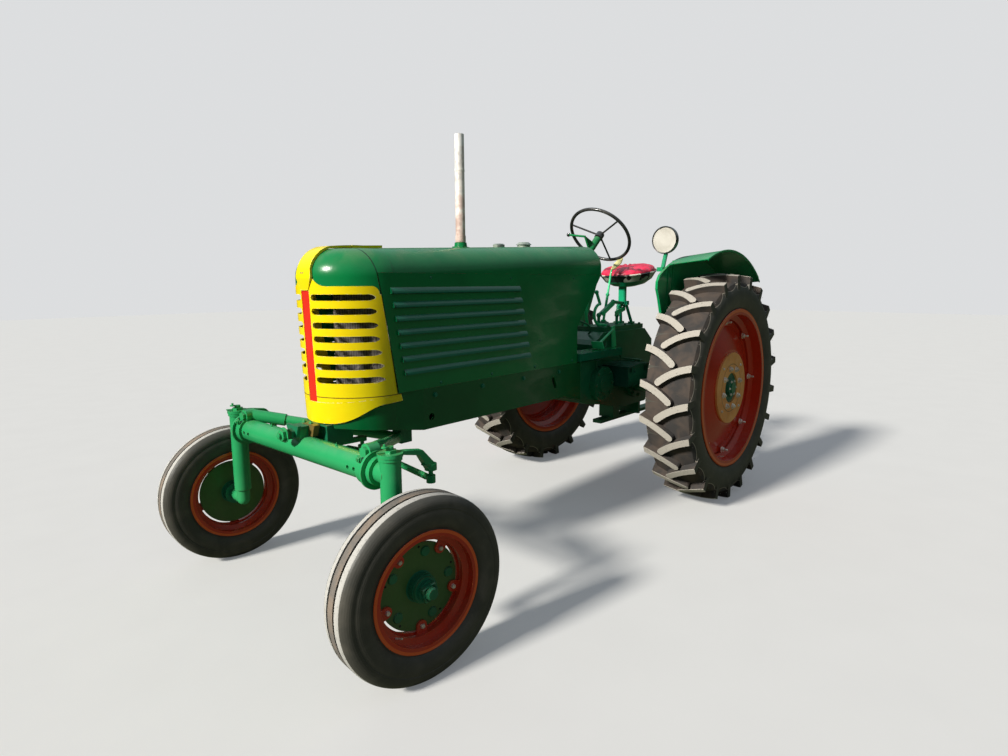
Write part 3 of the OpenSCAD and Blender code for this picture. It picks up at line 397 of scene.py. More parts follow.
# %% Rear tyres
def rear_rubber(wheel):
    """Pale lug tops, a brown floor that ends in scallops between the lugs, a dark side."""
    lugs, first_lug, floor_r, scallop, crown = 21, math.radians(16.1), 0.698, 0.052, 0.5556
    material, tree, shader, spot, speck, blotch, base = rubber_base(wheel)
    aside = gap(tree, spot["Side"])
    turned = maths(tree, "SUBTRACT", spot["Angle"], first_lug)
    wave = maths(tree, "SQRT", gap(tree, maths(tree, "SINE", times(tree, turned, lugs / 2))))
    ends = maths(tree, "SUBTRACT", floor_r, times(tree, wave, scallop))
    above = maths(tree, "SUBTRACT", spot["Radius"], ends)
    inward = ramp(tree, aside, 0.1522, 0.1514)
    floor = times(tree, ramp(tree, above, -0.001, 0.002), inward)
    # a pale line where the floor meets the shoulder: a painted highlight along that edge
    line = times(tree, ramp(tree, gap(tree, above), 0.0022, 0.001), inward)
    line = times(tree, line, ramp(tree, aside, 0.125, 0.135))
    reach = maths(tree, "ADD", spot["Radius"], times(tree, maths(tree, "POWER", aside, 2.0), crown))
    top = times(tree, ramp(tree, reach, 0.731, 0.7335), ramp(tree, speck, 0.28, 0.42, 0.5, 1.0))
    soil = blend_colours(tree, ramp(tree, blotch, 0.35, 0.65), (0.044, 0.041, 0.040), (0.085, 0.066, 0.055))
    base = blend_colours(tree, floor, base, soil)
    base = blend_colours(tree, times(tree, line, 0.9), base, (0.44, 0.39, 0.33))
    base = blend_colours(tree, top, base, (0.44, 0.41, 0.365))
    finish_rubber(tree, shader, spot, speck, base, maths(tree, "MAXIMUM", top, floor), 0.515)
    return material


# %% Front tyres
def front_rubber(wheel):
    """Two outer ribs scuffed pale, a middle rib brown with soil, and a black side."""
    material, tree, shader, spot, speck, blotch, base = rubber_base(wheel)
    aside = gap(tree, spot["Side"])
    rolls = times(tree, ramp(tree, spot["Radius"], 0.3395, 0.3405), ramp(tree, aside, 0.050, 0.047))
    soil = blend_colours(tree, ramp(tree, blotch, 0.4, 0.6), (0.17, 0.155, 0.14), (0.25, 0.20, 0.16))
    rib = blend_colours(tree, ramp(tree, aside, 0.020, 0.022), soil, (0.50, 0.49, 0.465))
    worn = times(tree, rolls, ramp(tree, speck, 0.28, 0.44, 0.6, 1.0))
    finish_rubber(tree, shader, spot, speck, blend_colours(tree, worn, base, rib), worn, 0.301)
    return material


# %% Dress the tyres
def dress(part, material):
    part.data.materials.clear()
    part.data.materials.append(material)


for wheel in wheels:
    end, hand = wheel.split("_")
    dress(parts[f"{end}_tyre_{hand}"], rear_rubber(wheel) if end == "rear" else front_rubber(wheel))

# %% [markdown]
# ## Bare and mixed finishes
# The exhaust is bare steel that heat has stained, from straw near the hood to rust
# at the top. The rear hubs carry two paints on one casting, which a mask by radius
# and side tells apart, as a painter's masking does. What paint doesn't cover, such
# as grips, caps and glass, is two drifting tones with a grain.

# %% Exhaust steel
low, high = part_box("exhaust_pipe")
exhaust_steel, tree, shader = principled("stained steel", Metallic=0.1)
rise = ramp(tree, along(tree, z=1), low.z + 0.17, high.z)
stain = maths(tree, "ADD", rise, ramp(tree, noise(tree, place(tree), 22, 6), 0.3, 0.7, -0.25, 0.25))
tones = add(tree, "ValToRGB", {0: stain})
tones.color_ramp.elements[0].color = (0.60, 0.42, 0.37, 1)
tones.color_ramp.elements[1].color = (0.98, 0.97, 0.96, 1)
for level, tone in ((0.25, (0.85, 0.66, 0.60, 1)), (0.5, (0.98, 0.91, 0.86, 1)),
                    (0.74, (0.72, 0.66, 0.63, 1))):
    tones.color_ramp.elements.new(level).color = tone
feed(shader, Base_Color=tones.outputs[0],
     Roughness=ramp(tree, noise(tree, place(tree), 60, 5), 0.3, 0.7, 0.32, 0.62))
skin(tree, shader, noise(tree, place(tree), 240, 4), 0.2)


# %% Rear hub paint
def hub_paint(wheel):
    """Ochre on the plate that faces out, with a dark ring, and green on the rest."""
    material, tree, shader = principled(f"hub paint {wheel}", Coat_Roughness=0.2)
    spot = wheel_spot(tree, wheel)
    facing = times(tree, ramp(tree, spot["Radius"], 0.0968, 0.0972),
                   ramp(tree, spot["Side"], 0.1015, 0.1018))
    ochre = use_group(tree, colour_drift, Colour=(0.98, 0.45, 0.13), Other=(0.80, 0.30, 0.07),
                      Scale=9.0, Amount=0.8)["Colour"]
    ring = ramp(tree, gap(tree, spot["Radius"], 0.155), 0.0035, 0.0015, 0.0, 0.7)
    ochre = blend_colours(tree, ring, ochre, (0.10, 0.05, 0.03))
    green = use_group(tree, colour_drift, Colour=(0.02, 0.18, 0.10), Other=(0.015, 0.07, 0.045),
                      Scale=12.0, Amount=0.8)["Colour"]
    worn = use_group(tree, edge_wear, Radius=0.003, Patches=50.0)["Mask"]
    base = blend_colours(tree, worn, blend_colours(tree, facing, green, ochre), (0.12, 0.07, 0.05))
    dusty = use_group(tree, settled_dust, Amount=0.4)["Mask"]
    feed(shader, Base_Color=blend_colours(tree, dusty, base, dust_colour),
         Roughness=ramp(tree, noise(tree, place(tree), 25, 5), 0.3, 0.7, 0.35, 0.65))
    skin(tree, shader, noise(tree, place(tree), 120, 5), 0.35)
    return material


# %% Front hub and rim paint
def front_hub_paint(wheel):
    """Olive green on the disc, blue-green on the hub that stands out of it."""
    material = enamel(f"front hub {wheel}", (0.070, 0.165, 0.045), (0.030, 0.115, 0.035),
                      gloss=0.3, dust=0.16, peel=0.4)
    tree = material.node_tree
    on_hub = ramp(tree, wheel_spot(tree, wheel)["Radius"], 0.0585, 0.0575)
    paint_over(material, on_hub, (0.015, 0.180, 0.095))
    return material


bead_seat = {"rear": 0.4826, "front": 0.2032}  # the radius where the tyre sits on its rim


def rim_paint(wheel):
    """Red with an orange flange where the coat is thin, its orange partly a painted highlight where the
    flange sees more light.
    """
    material = enamel(f"red on rim {wheel}", (0.64, 0.040, 0.014), (0.42, 0.022, 0.010),
                      bare=(0.80, 0.20, 0.05), gloss=0.22, dust=0.16, peel=0.3, coat=0.3, wear=0.003)
    tree = material.node_tree
    seat = bead_seat[wheel.split("_")[0]]
    # painted highlight on the flange, where it sees more light
    flange = ramp(tree, wheel_spot(tree, wheel)["Radius"], seat + 0.006, seat + 0.009)
    paint_over(material, flange, (0.85, 0.125, 0.028))
    return material


# %% Two drifting tones with a grain
def simple_finish(name, colour, other, roughness, scale, bump=0.2, dust=0.0, **values):
    """For the parts that paint doesn't cover."""
    material, tree, shader = principled(name, **values)
    base = use_group(tree, colour_drift, Colour=colour, Other=other, Scale=scale / 6, Amount=0.8)["Colour"]
    if dust:
        base = blend_colours(tree, use_group(tree, settled_dust, Amount=dust)["Mask"], base, dust_colour)
    grain = noise(tree, place(tree), scale * 4, 5)
    feed(shader, Base_Color=base,
         Roughness=ramp(tree, grain, 0.3, 0.7, roughness - 0.1, roughness + 0.12))
    skin(tree, shader, grain, bump)
    return material


# %% Grip, lamp, cap, plate and engine
grip_rubber = simple_finish("black grip", (0.020, 0.020, 0.020), (0.055, 0.052, 0.048), 0.32, 60,
                            Coat_Weight=0.3)
lamp_black = simple_finish("black lamp shell", (0.012, 0.014, 0.013), (0.04, 0.038, 0.034), 0.3, 30,
                           Coat_Weight=0.6)
lamp_glass = simple_finish("lamp glass", (0.68, 0.65, 0.59), (0.50, 0.47, 0.41), 0.18, 60,
                           bump=0.1, Coat_Weight=1.0)
zinc = simple_finish("plated steel", (0.85, 0.80, 0.73), (0.50, 0.38, 0.30), 0.38, 110, Metallic=0.5)
pale_cap = simple_finish("pale filler cap", (0.42, 0.46, 0.40), (0.16, 0.22, 0.17), 0.35, 60,
                         Metallic=0.3)
nub_rubber = simple_finish("rubber nubs", (0.34, 0.32, 0.29), (0.20, 0.19, 0.17), 0.6, 80)
# dark discs that stand for the shade inside holes
shadow_black = simple_finish("blind holes", (0.004, 0.004, 0.004), (0.010, 0.010, 0.009), 0.9, 80)
bronze = simple_finish("bare plate", (0.36, 0.23, 0.10), (0.20, 0.12, 0.06), 0.42, 130, Metallic=0.3)
brown_green = simple_finish("soiled paint", (0.17, 0.11, 0.028), (0.08, 0.10, 0.035), 0.45, 60, bump=0.3)
pale_grip = simple_finish("worn pale grip", (0.80, 0.76, 0.34), (0.62, 0.56, 0.22), 0.5, 70)
engine_green = simple_finish("engine under the hood", (0.010, 0.130, 0.060), (0.03, 0.04, 0.03),
                             0.55, 40, bump=0.5, dust=0.8)

# %% The lamp's bracket is green
tree = lamp_black.node_tree
lens_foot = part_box("lamp_lens")[0].z
below_lens = ramp(tree, along(tree, z=1), lens_foot - 0.004, lens_foot - 0.010)
bracket = times(tree, below_lens, ramp(tree, along(tree, y=1), 0.30, 0.31))
paint_over(lamp_black, bracket, (0.008, 0.30, 0.12))
print("the bracket starts", round(lens_foot, 3), "m above the ground")

# %% Radiator core: fins and tubes
radiator_core, tree, shader = principled("radiator core", Metallic=0.2)
where = place(tree)
fins = add(tree, "TexWave", {"Vector": where, "Scale": 62.0, "Distortion": 0.4, "Detail": 2.0},
           bands_direction="Z").outputs["Fac"]
tubes = add(tree, "TexWave", {"Vector": where, "Scale": 16.0}, bands_direction="Y").outputs["Fac"]
cells = times(tree, ramp(tree, fins, 0.2, 0.8), ramp(tree, tubes, 0.1, 0.5, 0.3, 1.0))
chaff = ramp(tree, noise(tree, where, 30, 8, 1.0), 0.52, 0.72)
core = blend_colours(tree, cells, (0.05, 0.042, 0.040), (0.30, 0.28, 0.275))
feed(shader, Base_Color=blend_colours(tree, chaff, core, (0.46, 0.40, 0.34)),
     Roughness=ramp(tree, chaff, 0.0, 1.0, 0.45, 0.9))
skin(tree, shader, cells, 0.8, 0.003)

# %% Give every part its finish
finishes = {
    "grille": yellow_paint, "chin_panel": yellow_paint, "nose_band": yellow_paint,
    "grille_strip": strip_paint, "radiator": radiator_core, "engine_block": engine_green,
    "exhaust_pipe": exhaust_steel, "hood_caps": pale_cap, "steering_wheel": grip_rubber,
    "head_lamp": lamp_black, "lamp_lens": lamp_glass, "main_frame": frame_paint,
    "battery_box": box_paint, "controls": lever_paint_with_painted_sun, "seat_pan": pan_paint,
    "fender_left": fender_paint, "fender_right": fender_paint, "gearbox": casting_paint,
    "axle_housings": casting_paint, "drawbar": casting_paint, "front_bolster": casting_paint}
for name, part in parts.items():
    if "tyre" in name:
        continue
    if "rear_hub" in name:
        finish = hub_paint(name.replace("rear_hub", "rear"))
    elif "rim" in name:
        finish = rim_paint(name.replace("_rim", ""))
    elif "front_hub" in name:
        finish = front_hub_paint(name.replace("front_hub", "front"))
    elif name.startswith(("front_axle", "spindle", "tie_rod", "centre_arm")):
        finish = axle_paint
    else:
        finish = finishes.get(name, green_paint)
    dress(part, finish)
print("finishes given:", len(parts))

# %% [markdown]
# ## Small turned pieces
# Nuts, studs, washers, gauges and caps are all turned shapes: an outline swept
# round an axis. One helper adds such a shape to a mesh under construction, with as
# many sides as asked: 6 sides make a nut, 24 a washer. A group of nuts that belongs
# to one casting becomes one mesh, which keeps the scene short and easy to move.

# %% Turned shapes
def turn(mesh, outline, stand, sides=24, spin=0.0):
    """Sweeps (radius, height) points round the stand's local Y axis."""
    rings = []
    for radius, height in outline:
        if radius == 0:
            rings.append([mesh.verts.new(stand @ Vector((0, height, 0)))])
            continue
        rings.append([mesh.verts.new(stand @ Vector((
            radius * math.cos(spin + 2 * math.pi * i / sides), height,
            radius * math.sin(spin + 2 * math.pi * i / sides)))) for i in range(sides)])
    for a, b in zip(rings, rings[1:]):
        for i in range(sides):
            j = (i + 1) % sides
            corners = list(dict.fromkeys((a[i % len(a)], a[j % len(a)], b[j % len(b)], b[i % len(b)])))
            if len(corners) > 2:
                mesh.faces.new(corners)


# %% From a mesh under construction to a piece
def new_object(mesh, name, material):
    """Puts a mesh under construction into the scene as an object."""
    data = bpy.data.meshes.new(name)
    mesh.to_mesh(data)
    mesh.free()
    data.materials.append(material)
    made = bpy.data.objects.new(name, data)
    bpy.context.scene.collection.objects.link(made)
    return made


def finish_mesh(mesh, name, material, body, smooth_angle=35):
    """Turns a mesh under construction into a piece that rides on a body."""
    bmesh.ops.recalc_face_normals(mesh, faces=mesh.faces)
    piece = new_object(mesh, name, material)
    piece.data.shade_smooth()
    piece.data.set_sharp_from_angle(angle=math.radians(smooth_angle))
    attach(piece, body)
    print(name, "has", len(piece.data.polygons), "faces and rides on", body)
    return piece


# %% Nuts, and places on a wheel
def nut(mesh, stand, across, height, spin=0.0, stud=0.0):
    """A chamfered hexagon on its washer; stud is how far its bolt stands out."""
    r = across / math.sqrt(3)
    turn(mesh, [(0, 0), (r * 1.25, 0), (r * 1.25, height * 0.18), (0, height * 0.18)], stand, 24)
    turn(mesh, [(0, height * 0.18), (r, height * 0.18), (r, height * 0.88), (r * 0.84, height),
                (0, height)], stand, 6, spin)
    if stud:
        s = r * 0.46
        turn(mesh, [(0, height - 0.001), (s, height - 0.001), (s, height + stud * 0.85),
                    (s * 0.7, height + stud), (0, height + stud)], stand, 16)


def at(wheel, radius, degrees, side):
    """A stand on a wheel: its Y axis points outward, at a radius and an angle from ahead."""
    a = math.radians(degrees)
    hand = 1 if wheel.endswith("left") else -1
    return wheels[wheel] @ Matrix.Translation(
        (hand * radius * math.cos(a), side, radius * math.sin(a)))


# %% Stands, rings of points, bars and plates
def stand_at(point, out):
    """A place for a small piece: its local Y axis points along out."""
    out = Vector(out).normalized()
    side = out.cross((0, 0, 1))
    side = side.normalized() if side.length > 0.01 else Vector((1, 0, 0))
    return Matrix.Translation(point) @ Matrix((side, out, side.cross(out))).transposed().to_4x4()


def join_rings(mesh, rings, ends=True):
    """Joins each ring of points to the next, and closes both ends with flat faces."""
    for a, b in zip(rings, rings[1:]):
        for k in range(len(a)):
            mesh.faces.new([a[k], a[(k + 1) % len(a)], b[(k + 1) % len(a)], b[k]])
    if ends:
        mesh.faces.new(rings[0])
        mesh.faces.new(rings[-1])


def bar(mesh, points, radius, sides=10):
    """A round bar through the points, with flat ends."""
    points = [Vector(p) for p in points]
    side, rings = (points[1] - points[0]).orthogonal(), []
    for i, point in enumerate(points):
        way = (points[min(i + 1, len(points) - 1)] - points[max(i - 1, 0)]).normalized()
        side = (side - way * side.dot(way)).normalized()
        up = way.cross(side)
        rings.append([mesh.verts.new(point + (side * math.cos(a) + up * math.sin(a)) * radius)
                      for a in (2 * math.pi * k / sides for k in range(sides))])
    join_rings(mesh, rings)


def curve(points, steps=8):
    """Rounds a row of points off into a smooth line through them."""
    points = [Vector(p) for p in points]
    ends = [2 * points[0] - points[1]] + points + [2 * points[-1] - points[-2]]
    line = []
    for p, q, r, s in zip(ends, ends[1:], ends[2:], ends[3:]):
        for t in (k / steps for k in range(steps)):
            line.append(0.5 * (2 * q + (r - p) * t + (2 * p - 5 * q + 4 * r - s) * t ** 2
                               + (3 * q - p - 3 * r + s) * t ** 3))
    return line + [points[-1]]


def plate(mesh, stand, wide, thick, tall, corner=0.002):
    """A flat plate on a stand: wide along X, thick outward, tall along Z, its corners cut."""
    x, z, c = wide / 2, tall / 2, corner
    outline = [(x - c, z), (x, z - c), (x, c - z), (x - c, -z),
               (c - x, -z), (-x, c - z), (-x, z - c), (c - x, z)]
    low, high = ([mesh.verts.new(stand @ Vector((u, y, v))) for u, v in outline] for y in (0, thick))
    mesh.faces.new(low)
    mesh.faces.new(high)
    for i in range(8):
        mesh.faces.new([low[i], low[(i + 1) % 8], high[(i + 1) % 8], high[i]])


# %% [markdown]
# ## What is bolted to the wheels
# The rear rims are held by studs with long nuts on square plates, so that a farmer
# can change the track. Bolts lie on circles, so a row of a table says it all: how
# many, how far from the axle, where the first one is and how far out. The nuts of a
# wheel are one mesh that rides on that wheel and turns with it. Thin nubs stand on a
# tyre where its mould let the air out.

# %% Rear wheels: studs on the hub plate, bolts of the rail clamps, valve
rear_x = wheels["rear_left"].to_translation().x
# how many, radius, first angle, side, across, height, turn from one to the next, stud
rear_circles = ((8, 0.130, 30, 0.114, 0.026, 0.014, 1.0, 0.008),
                (8, 0.426, 42, 0.062, 0.028, 0.016, 0.7, 0.026),
                (4, 0.194, 45, 0.114, 0.013, 0.007, 1.0, 0.0),
                (6, 0.047, 0, 0.122, 0.012, 0.007, 1.0, 0.0))
for wheel in ("rear_left", "rear_right"):
    body = f"rear_wheel_{wheel[5:]}"
    nuts, clamps, nubs = bmesh.new(), bmesh.new(), bmesh.new()
    for count, radius, first, side, across, height, step, stud in rear_circles:
        for i in range(count):
            nut(nuts, at(wheel, radius, first + 360 / count * i, side), across, height, step * i, stud)
    for i in range(8):
        plate(clamps, at(wheel, 0.4255, 42 + 45 * i, 0.0595), 0.044, 0.004, 0.044, 0.006)
    valve = [at(wheel, radius, -72, side).translation
             for radius, side in ((0.462, 0.090), (0.450, 0.118), (0.446, 0.138))]
    bar(nuts, curve(valve), 0.004)
    for i in range(42):
        for radius, side, more in ((0.684, 0.1500, 3), (0.632, 0.1522, 7)):
            turn(nubs, [(0, 0), (0.0017, 0), (0.0013, 0.0022), (0, 0.0026)],
                 at(wheel, radius, 360 / 42 * i + more, side), 6)
    finish_mesh(nuts, f"{wheel}_nuts", zinc, body)
    finish_mesh(clamps, f"{wheel}_clamp_plates", wheel_red, body)
    finish_mesh(nubs, f"{wheel}_nubs", nub_rubber, body)

# %% Front wheels: bolts of the ears, hub nut with its cap, blind holes, valve, rail
for wheel in ("front_left", "front_right"):
    body = f"front_wheel_{wheel[6:]}"
    nuts, hub, holes, rail = bmesh.new(), bmesh.new(), bmesh.new(), bmesh.new()
    for i in range(5):
        ear = -72 * i  # degrees
        turn(nuts, [(0, 0), (0.0095, 0), (0.0095, 0.007), (0.0075, 0.010), (0, 0.0105)],
             at(wheel, 0.149, ear - 18, 0.012), 6, i * 0.4)
        # dark discs of painted shade stand where the ears have blind holes
        turn(holes, [(0, 0), (0.0045, 0), (0.0045, 0.0004), (0, 0.0004)],
             at(wheel, 0.148, ear + 18, 0.004), 12)
        turn(hub, [(0, 0), (0.020, 0), (0.017, 0.006), (0, 0.006)], at(wheel, 0.128, ear + 30, 0.0036), 20)
    turn(hub, [(0, 0), (0.050, 0), (0.048, 0.010), (0, 0.010)], at(wheel, 0, 0, 0.033), 40)
    turn(hub, [(0, 0), (0.041, 0), (0.041, 0.014), (0.036, 0.018), (0, 0.018)],
         at(wheel, 0, 0, 0.056), 4, 0.5)
    turn(hub, [(0, 0), (0.024, 0), (0.024, 0.010), (0.019, 0.016), (0, 0.018)],
         at(wheel, 0, 0, 0.073), 24)
    turn(rail, [(0.170, -0.005), (0.192, -0.005), (0.192, 0.001), (0.170, 0.001), (0.170, -0.005)],
         at(wheel, 0, 0, 0.0), 72)
    bar(nuts, [at(wheel, 0.186, -48, 0.034).translation, at(wheel, 0.174, -48, 0.062).translation], 0.0035)
    finish_mesh(nuts, f"{wheel}_bolts", zinc, body)
    finish_mesh(hub, f"{wheel}_hub_nut", casting_paint, body)
    finish_mesh(holes, f"{wheel}_holes", shadow_black, body)
    finish_mesh(rail, f"{wheel}_rail", wheel_red, body)

# %% [markdown]
# ## Front axle and hood
# The axle is a tube in clamps: castings whose bolts are undone to widen the track.
# The hood carries little: a collar where the exhaust leaves it, a blank plate on the
# moulding, and screws along the panels. From a few steps away all these are dots of
# light, so their places and sizes matter and their threads don't.

# %% Front axle: pivot nuts, clamp bolts, grease fittings
kingpin_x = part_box("front_axle")[1].x - 0.051
kingpin_y, tube_z, pivot_z = 0.6, 0.768, 0.788
pivot = bmesh.new()
nut(pivot, stand_at((kingpin_x + 0.060, 0, pivot_z), (1, 0, 0)), 0.046, 0.020, 0.3, stud=0.012)
nut(pivot, stand_at((kingpin_x - 0.062, 0, pivot_z), (-1, 0, 0)), 0.036, 0.014, 0.1, stud=0.006)
for y in (-0.026, 0.026):
    nut(pivot, stand_at((kingpin_x - 0.050, y, 0.818), (0, 0, 1)), 0.018, 0.010, y * 40, stud=0.006)
    nut(pivot, stand_at((kingpin_x - 0.100, y * 2.6, 0.735), (0, 0, -1)), 0.019, 0.010, 0.2)
for side in (-1, 1):
    for d, out in ((0.030, 1), (-0.030, -1)):
        nut(pivot, stand_at((kingpin_x + d, side * 0.484, tube_z), (out, 0, 0)),
            0.020, 0.010, 0.4, stud=0.005)
    turn(pivot, [(0, 0), (0.006, 0), (0.005, 0.008), (0.002, 0.010), (0.002, 0.016), (0, 0.017)],
         stand_at((kingpin_x - 0.02, side * 0.26, tube_z), (0, 0, 1)), 12)
finish_mesh(pivot, "axle_hardware", axle_paint, "chassis")

# %% Front axle: the soiled face between the pivot's ears
worn_plate = bmesh.new()
corners = [(0.004, 0.772), (0.062, 0.772), (0.080, 0.822), (-0.012, 0.822)]
low, high = ([worn_plate.verts.new((kingpin_x + x, y, z)) for y, z in corners] for x in (-0.0600, -0.0325))
for face in (low, high, *([low[i], low[i - 1], high[i - 1], high[i]] for i in range(4))):
    worn_plate.faces.new(face)
finish_mesh(worn_plate, "ear_face", brown_green, "chassis")

# %% Spindles: caps of the kingpins, nuts of the steering arms
for hand, sign in (("left", 1), ("right", -1)):
    pin = Matrix.Translation((kingpin_x, sign * kingpin_y, 0)) @ Matrix.Rotation(parked, 4, "Z")
    ball = bmesh.new()
    nut(ball, stand_at(pin @ Vector((-0.18, 0, 0.726)), (0, 0, 1)), 0.026, 0.016, 0.2, stud=0.010)
    turn(ball, [(0, 0), (0.012, 0), (0.012, 0.005), (0.005, 0.007), (0.005, 0.014), (0, 0.016)],
         stand_at(pin @ Vector((0, 0, 0.824)), (0, 0, 1)), 16)
    bar(ball, [pin @ Vector((-0.028, 0.010, 0.808)), pin @ Vector((0.028, -0.010, 0.808))], 0.003)
    finish_mesh(ball, f"steering_arm_nut_{hand}", axle_paint, f"spindle_{hand}")

# %% Exhaust: collar and sleeves
pipe = sum(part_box("exhaust_pipe"), Vector()) / 2
collar = bmesh.new()
turn(collar, [(0.0255, 0), (0.046, 0), (0.046, 0.006), (0.034, 0.009), (0.031, 0.030), (0.0255, 0.030)],
     stand_at((pipe.x, 0, 1.596), (0, 0, 1)), 36)
for y in (-0.039, 0.039):
    nut(collar, stand_at((pipe.x + 0.02, y * 0.9, 1.602), (0, 0, 1)), 0.010, 0.005, y)
finish_mesh(collar, "exhaust_collar", green_paint, "chassis")
sleeve = bmesh.new()
for z, rise, tall in ((1.628, 0.0275, 0.034), (1.985, 0.0262, 0.012)):
    turn(sleeve, [(0.0252, 0), (rise, 0.001), (rise, tall - 0.001), (0.0252, tall)],
         stand_at((pipe.x, 0, z), (0, 0, 1)), 36)
finish_mesh(sleeve, "exhaust_sleeve", exhaust_steel, "chassis")

# %% Blank plate on the moulding
badge = bmesh.new()
nose_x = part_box("nose_band")[1].x
badge_z, nose_way = 1.475, (0.955, 0, 0.296)  # its height, and which way the moulding faces there
plate(badge, stand_at((nose_x - 0.0085, 0, badge_z), nose_way), 0.026, 0.0025, 0.036, 0.003)
for rise in (-0.015, 0.015):
    turn(badge, [(0, 0), (0.0022, 0), (0.0014, 0.0012), (0, 0.0014)],
         stand_at((nose_x - 0.0065 - rise * 0.31, 0, badge_z + rise), nose_way), 10)
finish_mesh(badge, "blank_badge", bronze, "chassis")

# %% Screws and bolts along the side panels
hood_side = 0.262
screws = bmesh.new()
for side in (-1, 1):
    for x in (-0.15, 0.20, 0.55, 0.90):
        turn(screws, [(0, 0), (0.008, 0), (0.008, 0.001), (0.005, 0.004), (0, 0.0045)],
             stand_at((x, side * hood_side, 0.958), (0, side, 0)), 16)
    for x, z in ((-0.16, 1.44), (0.40, 1.44), (0.95, 1.44), (0.155, 1.10)):
        turn(screws, [(0, 0), (0.006, 0), (0.006, 0.001), (0.004, 0.003), (0, 0.0035)],
             stand_at((x, side * hood_side, z), (0, side, 0)), 14)
    for x in (-0.02, 0.30, 0.62, 0.94):
        nut(screws, stand_at((x, side * hood_side, 0.905), (0, side, 0)), 0.018, 0.009, x * 9)
finish_mesh(screws, "panel_screws", green_paint, "chassis")

# %% [markdown]
# ## Driver's place
# Behind the hood sit gauges, knobs, a pale hand grip and two flat straps under the
# seat. A gauge is a turned rim with a pale face, and a knob is a turned ball. The
# grip is a blade with thin edges: rings of points joined by faces give full control
# of such a shape. The straps are plates turned to their slope. Most of these sit near
# the rear axle, so their places are measured ahead of it.

# %% Gauges and switches on the panel
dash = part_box("hood")[0].x + 0.024
gauges, faces = bmesh.new(), bmesh.new()
for y, size in ((-0.125, 0.030), (0.0, 0.038), (0.125, 0.030)):
    stand = stand_at((dash, y, 1.530), (-1, 0, 0))
    turn(gauges, [(0, 0), (size, 0), (size, 0.010), (size * 0.9, 0.012), (size * 0.86, 0.009),
                  (0, 0.009)], stand, 32)
    turn(faces, [(0, 0.0092), (size * 0.85, 0.0092), (size * 0.85, 0.0096), (0, 0.0096)], stand, 32)
for y in (-0.07, 0.065, 0.175):
    turn(gauges, [(0, 0), (0.006, 0), (0.006, 0.016), (0.012, 0.018), (0.012, 0.026),
                  (0.009, 0.029), (0, 0.030)],
         stand_at((dash, y, 1.490), (-1, 0, 0)), 18)
finish_mesh(gauges, "gauge_rims", lamp_black, "chassis")
finish_mesh(faces, "gauge_faces", pale_cap, "chassis")

# %% Knobs of the levers
knobs = bmesh.new()
half_round = [(math.cos(a), math.sin(a)) for a in (math.radians(d) for d in range(-70, 90, 20))]
for x, y, z, radius in ((0.443, -0.135, 1.735, 0.013), (0.27, -0.08, 1.44, 0.017),
                        (0.42, -0.03, 1.36, 0.019)):
    turn(knobs, [(0, -radius)] + [(radius * u, radius * v) for u, v in half_round] + [(0, radius)],
         stand_at((rear_x + x, y, z), (0, 0, 1)), 20)
finish_mesh(knobs, "lever_knobs", lamp_black, "chassis")

# %% Hand grip
grip = bmesh.new()
# ahead of the rear axle, above the ground, half the blade's width
blade = ((0.108, 1.504, 0.006), (0.090, 1.512, 0.012), (0.050, 1.536, 0.020),
         (0.005, 1.562, 0.021), (-0.028, 1.584, 0.012), (-0.040, 1.592, 0.004))
sections = []
for x, z, half in blade:
    middle, across = Vector((rear_x + x, 0, z)), Vector((0, 0.80, -0.60)) * half
    through = Vector((0.41, 0.52, 0.69)) * 0.004
    sections.append([grip.verts.new(middle + across * math.cos(a) + through * math.sin(a))
                     for a in (math.radians(d) for d in range(0, 360, 30))])
join_rings(grip, sections)
finish_mesh(grip, "hand_grip", pale_grip, "chassis")

# %% Straps under the seat
straps = bmesh.new()
for x, y, z, long, slope in ((0.208, 0.0395, 1.238, 0.172, 26.5), (-0.004, 0.0078, 1.211, 0.140, 15.5)):
    a = math.radians(slope)
    plate(straps, stand_at((rear_x + x, y, z), (0, 1, 0)) @ Matrix.Rotation(a, 4, "Y"),
          long, 0.006, 0.034, 0.005)
    for d in (-0.4, 0.4):
        turn(straps, [(0, 0.006), (0.008, 0.006), (0.007, 0.010), (0, 0.011)],
             stand_at((rear_x + x - d * long * math.cos(a), y, z + d * long * math.sin(a)), (0, 1, 0)), 6)
# the straps take the lighter green of painted sunlight
finish_mesh(straps, "seat_straps", lever_paint_with_painted_sun, "chassis")

# %% Cap of the steering wheel
wheel_hub = bmesh.new()
column_tilt = math.radians(42)
turn(wheel_hub, [(0, 0.008), (0.024, 0.008), (0.022, 0.016), (0.012, 0.020), (0, 0.021)],
     stand_at((rear_x + 0.265, 0, 1.735), (-math.cos(column_tilt), 0, math.sin(column_tilt))), 28)
finish_mesh(wheel_hub, "wheel_hub_cap", grip_rubber, "steering_wheel")

# %% Bezel of the lamp
lamp_low, lamp_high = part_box("lamp_lens")
lamp = (lamp_low + lamp_high) / 2
bezel = bmesh.new()
turn(bezel, [(0.080, -0.004), (0.0845, -0.003), (0.0855, 0.002), (0.083, 0.006), (0.0785, 0.004),
             (0.078, 0.001)],
     stand_at((lamp_high.x, lamp.y, lamp.z), (1, 0, 0)), 56)
nut(bezel, stand_at((lamp_high.x - 0.03, lamp.y, lamp.z - 0.090), (0, 0, -1)), 0.016, 0.010)
finish_mesh(bezel, "lamp_bezel", lamp_black, "chassis")

# %% [markdown]
# ## Rods, castings and fenders
# A pipe is a bar along a smooth curve through a few points, which is easier to place
# than a bent tube made by hand. The covers of the castings are held by circles of
# bolts. A fender's edge is rolled round a wire, which a thin bar along it shows, and
# two pressed ribs stiffen its wall.

